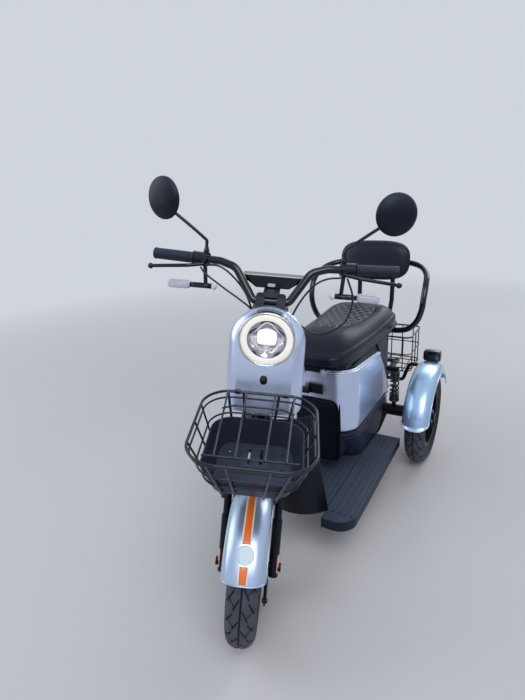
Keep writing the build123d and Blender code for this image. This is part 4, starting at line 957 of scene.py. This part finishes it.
# %% [markdown]
# ### Armrests
# A bent tube leaves the bar behind the backrest, rounds the side of the seat and comes back in
# under it.  Its path is one smooth curve through a few places, as a tube bender leaves it.

# %% Armrests
ARMREST = ((98.3, 1240, 866), (150, 1235, 866), (204, 1200, 857), (236, 1146, 836),
           (246, 1092, 804), (246, 1064, 756), (241, 1058, 704), (222, 1060, 654),
           (188, 1063, 621), (150, 1066, 610), (112, 1068, 608))
for side, word in SIDES:
    loop = smooth_path(np.array(ARMREST) * [side, 1, 1], 16)
    tube("armrest_tube_" + word, loop, 12.0, gloss, "chassis", "paint_black", sides=22,
         replaces=("armrest_" + word,))
print("armrests:", len(loop), "places along each tube")

# %% [markdown]
# ### Turn signals
# Milky blocks outboard of a black stalk that hangs from the bar, with a white knob inboard.

# %% Turn signals
SIGNAL_Y, SIGNAL_Z, SIGNAL_IN, SIGNAL_LONG = 298.0, 940.0, 240.0, 68.0
HANGER_X, HANGER_TOP, LENS_RIBS = 196.0, (284.5, 1001.5), 9


def signal(side, word):
    """A block whose section is a superellipse, blunt at its ends and ribbed by a sine."""
    t = np.linspace(0, 1, 60)[:, None]
    blunt = np.sqrt(np.clip(1 - np.abs(2 * t - 1) ** 9, 0.0, 1))
    size = blunt * (1 + 0.010 * np.sin(t * 2 * np.pi * LENS_RIBS))
    along, over = superellipse(40, 0.75, 0.75)
    lens = grid(side * (SIGNAL_IN + SIGNAL_LONG * t), SIGNAL_Y + 13.5 * along * size,
                SIGNAL_Z + 12.5 * over * size)
    piece("signal_lens_" + word, *capped(lens), signal_clear, "steering", "lens_clear")
    stalk = grid(side * np.array([178, 200, 220, 243]), SIGNAL_Y, SIGNAL_Z)
    tube("signal_stalk_" + word, stalk, 8.2, gloss, "steering", "plastic_gloss", sides=20,
         replaces=("turn_signal_" + word,))
    foot, top = (SIGNAL_Y, SIGNAL_Z), HANGER_TOP
    hanger = np.linspace([side * HANGER_X, *foot], [side * HANGER_X, *top], 5)
    tube("signal_hanger_" + word, hanger, 6.0, gloss, "steering", "plastic_gloss")
    knob = grid(side * np.linspace(163, 180, 12), SIGNAL_Y, SIGNAL_Z)
    swell = 9.5 * np.sqrt(np.sin(np.linspace(0.12, np.pi - 0.12, 12))) + 1.5
    tube("signal_knob_" + word, knob, swell, knob_white, "steering", "lens_clear", sides=20)


for side, word in SIDES:
    signal(side, word)
print("signals:", SIGNAL_LONG, "mm long")

# %% [markdown]
# ## Seat cover
# The seat is foam under a stretched cover: a big crown in front, rounded shoulders, and a
# quilted middle sewn in diamonds.  It is a dome over its plan outline.  The share r runs from the
# middle to the rim, the height falls as (1 - r^p)^(1/q), and the quilting is pressed in along two
# families of slanted lines.

# %% Seat cover
SEAT_FRONT, SEAT_REAR, SEAT_LOW = 494.0, 1124.0, 640.3
SEAT_HALF_FRONT, SEAT_HALF_REAR = 121.0, 153.0
QUILT_PITCH, QUILT_SLOPE = 27.0, math.radians(32.0)
QUILT_MIDDLE, QUILT_HALF_LENGTH, QUILT_HALF_WIDTH = 838.0, 196.0, 84.0
QUILT_FLARE, QUILT_POWER = 0.16, 2.4


def quilt_lines(x, y):
    """Distance in mm to the nearest of the two families of sewn lines."""
    a = (x * math.cos(QUILT_SLOPE) + y * math.sin(QUILT_SLOPE)) / QUILT_PITCH
    b = (-x * math.cos(QUILT_SLOPE) + y * math.sin(QUILT_SLOPE)) / QUILT_PITCH
    return np.minimum(np.abs(a - np.round(a)), np.abs(b - np.round(b))) * QUILT_PITCH


def quilt_zone(x, y):
    """Below 1 inside the sewn panel: an oval with a blunt front and a wider rear."""
    along = (y - QUILT_MIDDLE) / QUILT_HALF_LENGTH
    width = QUILT_HALF_WIDTH * (1 + QUILT_FLARE * along)
    return np.abs(x / width) ** QUILT_POWER + np.abs(along) ** QUILT_POWER


def seat_height(y):
    """The top line: a high crown in front, a slight dip for the rider, and a raised tail."""
    dip = 9.0 * np.exp(-((y - 800.0) / 130.0) ** 2)
    return 96.0 - dip - 16.0 * np.exp(-((y - SEAT_FRONT) / 80.0) ** 2)


def seat_points(rings=150, sides=440):
    """Share r by turn: the plan is a superellipse times r, and the height is the top line times
    (1 - r^5)^(1/1.9), less exp(-(d / 2.6)^2) at a distance d from the sewn lines."""
    across, along = superellipse(sides, 0.40, 0.46)
    half = SEAT_HALF_FRONT + (SEAT_HALF_REAR - SEAT_HALF_FRONT) * (along + 1) / 2
    r = np.sin(np.linspace(np.pi / 2, 0.02, rings))[:, None]
    swell = 1 + 0.028 * np.sin(np.pi * np.clip((1 - r) / 0.06, 0, 1))
    x = across * half * r * swell
    y = (SEAT_FRONT + SEAT_REAR) / 2 + along * (SEAT_REAR - SEAT_FRONT) / 2 * r * swell
    z = SEAT_LOW + seat_height(y) * (1 - r ** 5.0) ** (1 / 1.9)
    zone = quilt_zone(x, y)
    inside = np.clip((1 - zone) / 0.06, 0, 1)
    sewn = np.exp(-(quilt_lines(x, y) / 2.6) ** 2)
    border = np.exp(-((zone - 1.0) / 0.05) ** 2)
    return grid(x, y, z - 2.6 * inside * sewn - 2.2 * border + 1.2 * inside)


seat = seat_points()
print("seat:", seat.shape[0], "rings of", seat.shape[1], "up to z", seat[..., 2].max().round(1))

# %% [markdown]
# ### Seat leather
# Black leathercloth: a pebble grain from a Voronoi texture, with pale twin stitches along the
# sewn lines.  The stitches use the same line formula as the mesh, on the piece's own UV map,
# which holds x and y in metres.

# %% Seat leather
STITCH_GAP, STITCH_HALF, STITCH_STEP = 2.1, 0.62, 0.0042     # mm from the line, mm, metres


def sewn_look(made):
    """Masks of thread and panel: the panel is the quilt's oval, and the thread lies where a point
    is a stitch's gap away from a sewn line, cut into dashes."""
    u, v, _ = made.across(made.node("ShaderNodeUVMap", {"uv_map": "surface"}))
    over, back, pitch = math.cos(QUILT_SLOPE), math.sin(QUILT_SLOPE), QUILT_PITCH * MM
    gaps = []
    for sign in (1, -1):
        line = ((u * (sign * over) + v * back) / pitch + 0.5).frac() - 0.5
        gaps.append((line.abs() * QUILT_PITCH - STITCH_GAP).abs())
    along = (v - QUILT_MIDDLE * MM) / (QUILT_HALF_LENGTH * MM)
    width = (along * QUILT_FLARE + 1.0) * (QUILT_HALF_WIDTH * MM)
    zone = ((u.abs() / width).math("POWER", QUILT_POWER)
            + along.abs().math("POWER", QUILT_POWER))
    dash = ((v + u * 0.7) / STITCH_STEP).frac() < 0.62
    thread = (gaps[0].least(gaps[1]) < STITCH_HALF) * (zone < 0.97) * dash
    return thread, (zone < 1.0) * 0.6


def leather(name, stitched=False):
    """Voronoi cells as a pebbled bump and broad noise as colour and gloss."""
    made = Finish(name, (0.006, 0.007, 0.012), 0.36, Coat_Weight=0.06, Coat_Roughness=0.2,
                  Specular_IOR_Level=0.3, Specular_Tint=SKY_TINT)
    cells = made.node("ShaderNodeTexVoronoi", inputs={"Vector": made.where(), "Scale": 520.0})
    broad = made.noise(6.0, 3.0)
    colour = made.mix(broad, (0.004, 0.005, 0.011), (0.010, 0.012, 0.024))
    rough = 0.29 + broad * 0.14
    if stitched:
        thread, panel = sewn_look(made)
        colour = made.mix(panel, colour, (0.018, 0.021, 0.032))
        colour = made.mix(thread, colour, (0.40, 0.40, 0.42))
        rough = rough + panel * 0.12
    made.put("Base Color", colour)
    made.put("Roughness", rough)
    made.bump(cells, 0.00025, 0.6)
    return made


seat_leather = leather("seat_cover", stitched=True)
back_leather = leather("backrest_cover")
points, faces = capped(seat, first=[0, 809.0, SEAT_LOW])
seat_cover = piece("seat_cover", points, faces, seat_leather, "seat", "seat_leather",
                   replaces=("seat_cushion",), uv=points[:, :2] * MM)
rim_line = seat[3] * [1, 1, 0] + [0, 0, SEAT_LOW + 1.5]
tube("seat_piping", rim_line[::2], 2.2, back_leather, "seat", "seat_leather", sides=8, closed=True)
print("seat cover:", len(faces[0]), "quads")

# %% [markdown]
# ## Backrest cover
# A flat pill of foam with a seam round its edge.  Both faces are the same dome formula as the
# seat, and a thin piping is carried round the seam.

# %% Backrest cover
BACK_AT, BACK_HALF, BACK_HEIGHT, BACK_THICK = np.array([0.0, 1196.0, 881.0]), 152.0, 165.0, 53.0
BACK_TILT = math.radians(9.7)
BACK_RINGS = 70


def backrest_points(sides=260):
    """Both faces over a superellipse: thickness (1 - r^3.4)^(1/2.1), less a seam at r = 0.86 in
    front.  Across, up and thickness then lean back by the tilt."""
    x, h = superellipse(sides, 0.60, 0.66)
    sheets = []
    for face in (1, -1):
        r = np.sin(np.linspace(0.03, np.pi / 2, BACK_RINGS))[:, None]
        if face < 0:
            r = r[-2::-1]
        thick = face * (BACK_THICK / 2) * (1 - r ** 3.4) ** (1 / 2.1)
        if face > 0:
            thick = thick - 1.2 * np.exp(-((r - 0.86) / 0.02) ** 2)
        sheets.append(grid(BACK_HALF * x * r, BACK_HEIGHT / 2 * h * r, thick))
    up = [0.0, math.sin(BACK_TILT), math.cos(BACK_TILT)]
    ahead = [0.0, -math.cos(BACK_TILT), math.sin(BACK_TILT)]
    return BACK_AT + np.vstack(sheets) @ np.array([[1, 0, 0], up, ahead])


pill = backrest_points()
back_cover = piece("backrest_cover", *capped(pill), back_leather, "chassis", "seat_leather",
                   replaces=("backrest_cushion",))
seam = pill[BACK_RINGS - 1][::2]
tube("backrest_piping", seam, 2.4, back_leather, "chassis", "seat_leather", sides=8, closed=True)
print("backrest:", len(pill), "rings of", pill.shape[1])

# %% [markdown]
# ## Side cover
# The painted cover under the seat is one skin bent round the front of the pedestal.  Its plan is
# straight sides and a round front, its rear edge leans forward as it rises, and its rims turn in.

# %% Side cover
COVER_ROWS = (      # height, front, half width, corner radius
    (187.3, 690.0, 108.0, 60.0), (360.0, 546.0, 130.0, 82.0),
    (500.0, 540.0, 134.0, 80.0), (620.0, 527.0, 130.0, 74.0))
REAR_EDGE = ((1010.0, 379.0), (866.0, 576.0))       # place along and height of its two ends


def cover_line(z, inset, rear):
    """Plan at a height: side from the rear edge forward, quarter round, front, and back again."""
    heights, *measures = np.array(COVER_ROWS).T
    front, half, corner = (np.interp(z, heights, measure) for measure in measures)
    front, half, corner = front + inset, half - inset, corner - inset
    arc, front_t = np.linspace(0, np.pi / 2, 28)[1:], np.linspace(0, 1, 18)[1:]
    y_side = rear + (front + corner - rear) * np.linspace(0, 1, 40)
    y = np.concatenate([y_side, front + corner - corner * np.sin(arc), np.full(17, front)])
    x = np.concatenate([np.full(40, half), half - corner * (1 - np.cos(arc)),
                        (half - corner) * (1 - front_t)])
    return np.concatenate([x, -x[-2::-1]]), np.concatenate([y, y[-2::-1]])


def cover_points(low_at, high_at, inset=0.0, roll=6.0, rows=64):
    """Height runs between two edges that fall towards the rear; each rim turns in by `roll`."""
    (y0, z0), (y1, z1) = REAR_EDGE
    lines = []
    for share in np.linspace(0, 1, rows):
        guess = low_at(800.0) + (high_at(800.0) - low_at(800.0)) * share
        rear = y0 + (y1 - y0) * (guess - z0) / (z1 - z0)
        turn_in = roll * (max(0.0, 1 - share / 0.04) ** 2 + max(0.0, 1 - (1 - share) / 0.05) ** 2)
        x, y = cover_line(guess, inset + turn_in, rear)
        lines.append(grid(x, y, low_at(y) + (high_at(y) - low_at(y)) * share))
    return np.array(lines)


def cover_low(y):
    """The seam over the skirt, falling by 8 towards the rear."""
    return 365.0 - 8.0 * np.clip((y - 560.0) / 240.0, 0, 1)


def cover_high(y):
    """The rim under the seat, falling by 30 towards the rear."""
    return 617.0 - 30.0 * np.clip((y - 545.0) / 290.0, 0, 1) ** 1.1


COVER_WALL, COLLAR_WALL, COLLAR_TOP = 2.6, 2.4, 625.5
cover = cover_points(cover_low, cover_high)
piece("side_cover_skin", cover, None, silver, "chassis", "paint_silver", replaces=("body_shell",),
      centre=[0, 850.0, 490.0], wall=COVER_WALL)
collar = cover_points(lambda y: cover_high(y) - 14.0, lambda y: COLLAR_TOP + 0 * y, inset=5.0,
                      roll=2.0, rows=14)
piece("seat_collar", collar, None, plastic, "chassis", "plastic_black", centre=[0, 850.0, 600.0],
      wall=COLLAR_WALL)
# the rolled rim under the seat, with a painted highlight
tube("side_cover_lip", cover[-4], 4.2, lip_painted_highlight, "chassis", "paint_silver", sides=10)
for index, (height, radius) in enumerate(((351.0, 3.2), (329.0, 2.6))):
    bead = grid(*cover_line(height, -0.6, 1000.0), height)
    tube(f"skirt_bead_{index}", bead, radius, skirt_sheen_plastic, "chassis", "plastic_black", sides=10)
for side, word in SIDES:
    seal = grid(side * 110.0, np.array([353.0, 500.0, 700.0, 905.0]), 183.4)
    tube("floor_seal_" + word, seal, 3.3, chassis_black, "chassis", "plastic_black", sides=10)
print("side cover:", cover.shape[0], "rows by", cover.shape[1])

# %% [markdown]
# ## Rear springs
# Each spring damper is a helix of wire round a rod between two cups.  The helix is a circle plus
# a rise, and its last turns close up towards the cups.

# %% Rear springs
SPRING_AT, SPRING_LOW, SPRING_HIGH = (134.0, 1100.0), 265.5, 407.0
COILS, COIL_R, WIRE_R, CUP_R = 9, 18.0, 3.6, 22.5


def spring(side, word):
    """Turn grows with t + 0.035 sin 2 pi t and rise with t - 0.055 sin 2 pi t, so the last turns
    close up.  The rod and its cups are one turned profile."""
    x, y, low, high = side * SPRING_AT[0], SPRING_AT[1], SPRING_LOW, SPRING_HIGH
    t = np.linspace(0, 1, 420)
    wave = np.sin(2 * np.pi * t)
    turn = 2 * np.pi * COILS * (t + 0.035 * wave)
    rise = low + 9 + (high - low - 18) * (t - 0.055 * wave)
    path = grid(x + COIL_R * np.cos(turn), y + COIL_R * np.sin(turn), rise)
    coil = capped(tube_points(path, WIRE_R, 10), path[0], path[-1])
    profile = ((0.5, low), (CUP_R, low), (CUP_R, low + 5), (11, low + 6), (11, low + 70),
               (7, low + 72), (7, high - 8), (9, high - 6), (CUP_R, high - 5), (CUP_R, high),
               (0.5, high))
    core = lathe_points(profile, 32) + [x, y, 0]
    points, faces = joined([coil, (core, [quads(len(profile), 32, wrap_cols=True)])])
    piece("spring_" + word, points, faces, spring_coat, "chassis", "steel",
          replaces=("rear_shock_" + word,))


for side, word in SIDES:
    spring(side, word)
print("springs:", COILS, "turns each")

# %% [markdown]
# ## Small fixings
# Domed bolt heads hold the rear guards: each is a quarter ellipse turned about its normal.

# %% Bolts
def bolt(at, normal, radius):
    """A domed head: a quarter ellipse turned about its normal."""
    side = np.cross(normal, [1.0, 0.2, 0.1])
    side /= np.linalg.norm(side)
    t = np.linspace(0.03, 1, 7)
    local = lathe_points(np.stack([radius * t, 2.2 * np.sqrt(1 - t ** 2)], axis=1), 16)
    return capped(at + local @ np.array([side, np.cross(normal, side), normal]))


for side, word in SIDES:
    heads = []
    for turn in np.radians((158.0, 62.0)):
        for x in (-22.0, 22.0):
            normal = np.array([0, math.cos(turn), math.sin(turn)])
            hub = np.array([side * GUARD_X + x, WHEELBASE, TYRE_R])
            heads.append(bolt(hub + normal * (GUARD_CROWN_R - GUARD_WALL), normal, 3.8))
    piece("guard_bolts_" + word, *joined(heads), zinc, "chassis", "steel")
print("bolts:", len(heads), "on each rear guard")

# %% [markdown]
# ### Reflectors and labels
# The fork legs carry long amber reflectors, and the display a pale edge and a small plain label.

# %% Reflectors and labels
for side, word in SIDES:
    out = np.array([side * 0.80, -0.60, 0.0])
    at = np.array([side * 73.0, 4.0, 225.0]) + out * 14.2
    domed_patch("reflector_" + word, at, [0.60, side * 0.80, 0.0], [0, 0.28, 1.0], (4.8, 28.0), 2.6,
                0.5, amber, "steering", "stripe_orange")
domed_patch("display_label", [-3.0, 264.8, 965.0], [1, 0, 0], [0, 0, 1], (10.5, 4.6), 0.5, 0.3,
            blank_pale, "steering", "plastic_gloss")
edge = grid(np.linspace(-82, 82, 9), 265.6, 991.4)
tube("display_edge", edge, 1.5, blank_pale, "steering", "plastic_gloss", sides=10)
print("reflectors on both fork legs, a blank label and an edge on the display")

# %% [markdown]
# ### Control cables
# Four black sleeves run from the levers to behind the head cowl.  Both ends are held on the
# steering, so each is a smooth tube that turns with the bars.

# %% Control cables
CABLES = {
    "cable_loop": ((204, 257, 1004), (224, 243, 950), (212, 236, 889), (172, 234, 853),
                   (131, 237, 843), (87, 243, 861), (50, 236, 872)),
    "cable_left": ((190, 254, 1004), (152, 247, 1000), (122, 240, 986), (96, 232, 958),
                   (76, 226, 925), (62, 224, 893), (50, 228, 868)),
    "cable_right": ((-204, 257, 1003), (-186, 250, 985), (-131, 245, 949), (-87, 242, 922),
                    (-56, 238, 900), (-34, 230, 868)),
    "cable_right_high": ((-190, 256, 1010), (-150, 252, 1010), (-110, 248, 985), (-72, 244, 940),
                         (-42, 236, 872)),
}
for name, knots in CABLES.items():
    tube(name, smooth_path(knots, 10), 2.8, wire_coat, "steering", "plastic_gloss", sides=10)
print(len(CABLES), "cables")

# %% [markdown]
# ## Tail lamps
# Each is a black housing that stands on the guard's crown, with the red lens on its rear face.
# The foot of every ring follows the guard: its height is the root of R^2 - y^2 over the hub.

# %% Tail lamps
TAIL_TOP_Z, TAIL_HALF = 489.0, 37.5
HOUSING = ((1186.4, 1187.2, 1190, 1196, 1206, 1216, 1217), (0.80, 0.90, 0.97, 1.0, 1.0, 1.0, 0.93))
LENS = ((1212, 1218, 1222, 1224.6, 1225.7), (0.92, 0.92, 0.90, 0.84, 0.72))


def lamp_rings(side, y, share):
    """Superellipse rings across the vehicle, between the guard's crown and the lamp's top."""
    y, share = np.array(y)[:, None], np.array(share)[:, None]
    foot = TYRE_R + np.sqrt(GUARD_CROWN_R ** 2 - (y - WHEELBASE) ** 2) - 2.0
    across, over = superellipse(64, 0.4, 0.4)
    z = (TAIL_TOP_Z + foot) / 2 + (TAIL_TOP_Z - foot) / 2 * share * over
    return grid(side * GUARD_X + TAIL_HALF * share * across, y, z)


for side, word in SIDES:
    piece("tail_housing_" + word, *capped(lamp_rings(side, *HOUSING)), gloss, "chassis",
          "plastic_gloss", replaces=("tail_lamp_" + word,))
    piece("tail_lens_" + word, *capped(lamp_rings(side, *LENS)), red_lens, "chassis", "lamp_red")
print("tail lamps:", 2 * TAIL_HALF, "mm wide")

# %% [markdown]
# ## Floor and light
# A plain pale floor, a pale world that only the camera and reflections see as bright, and three
# soft lamps.  The world lights the object at a plain level.

# %% Floor and light
SKY, SKY_SEEN, SKY_LIGHT = (0.87, 0.92, 1.0), 0.72, 0.42
FLOOR_HALF = 30.0
HAZE_FROM, HAZE_RUN = 1.5, 3.2      # metres from the middle

floor_finish = Finish("studio_floor", (0.60, 0.60, 0.63), 0.75)
floor_finish.put("Roughness", 0.7 + floor_finish.noise(2.0) * 0.1)
x, y, _ = floor_finish.across(floor_finish.where())
far = (((x * x + y * y).math("SQRT") - HAZE_FROM) / HAZE_RUN).most(0.0).least(1.0)
camera_ray = floor_finish.node("ShaderNodeLightPath")
haze = floor_finish.node("ShaderNodeEmission", inputs=((*SKY, 1.0), SKY_SEEN))
plain = Value(floor_finish, floor_finish.shader.outputs[0])
faded = floor_finish.node("ShaderNodeMixShader", inputs=(far * camera_ray, plain, haze))
output = floor_finish.tree.nodes["Material Output"]
floor_finish.tree.links.new(faded.socket, output.inputs["Surface"])

corners = [(x * FLOOR_HALF, y * FLOOR_HALF, 0) for x, y in ((-1, -1), (1, -1), (1, 1), (-1, 1))]
floor_mesh = bpy.data.meshes.new("floor")
floor_mesh.from_pydata(corners, [], [(0, 1, 2, 3)])
floor_mesh.materials.append(floor_finish.material)
floor = bpy.data.objects.new("floor", floor_mesh)
scene.collection.objects.link(floor)

scene.world = bpy.data.worlds.new("studio")
sky = Nodes(scene.world, "Background")
ray = sky.node("ShaderNodeLightPath").socket.node.outputs
seen, glossy, through = (Value(sky, ray["Is " + kind + " Ray"])
                         for kind in ("Camera", "Glossy", "Transmission"))
sky.put("Strength", seen.most(glossy).most(through) * (SKY_SEEN - SKY_LIGHT) + SKY_LIGHT)
sky.put("Color", (*SKY, 1.0))

LAMPS = (   # name, place, size, power
    ("key", (1.6, -2.2, 3.2), 2.2, 62.0),
    ("fill", (-2.8, -1.6, 2.2), 2.6, 34.0),
    ("back", (0.8, 3.0, 2.6), 2.4, 40.0),
)
for name, at, size, power in LAMPS:
    data = bpy.data.lights.new(name, "AREA")
    data.size, data.energy = size, power
    lamp = bpy.data.objects.new(name, data)
    scene.collection.objects.link(lamp)
    ahead = np.array([0.0, 0.0, 0.6]) - np.array(at)
    ahead /= np.linalg.norm(ahead)
    right = np.cross(ahead, [0, 0, 1.0])
    right /= np.linalg.norm(right)
    lamp.matrix_world = placed(right, np.cross(right, ahead), -ahead, at)
print(len(LAMPS), "lamps, sky at", SKY_LIGHT)
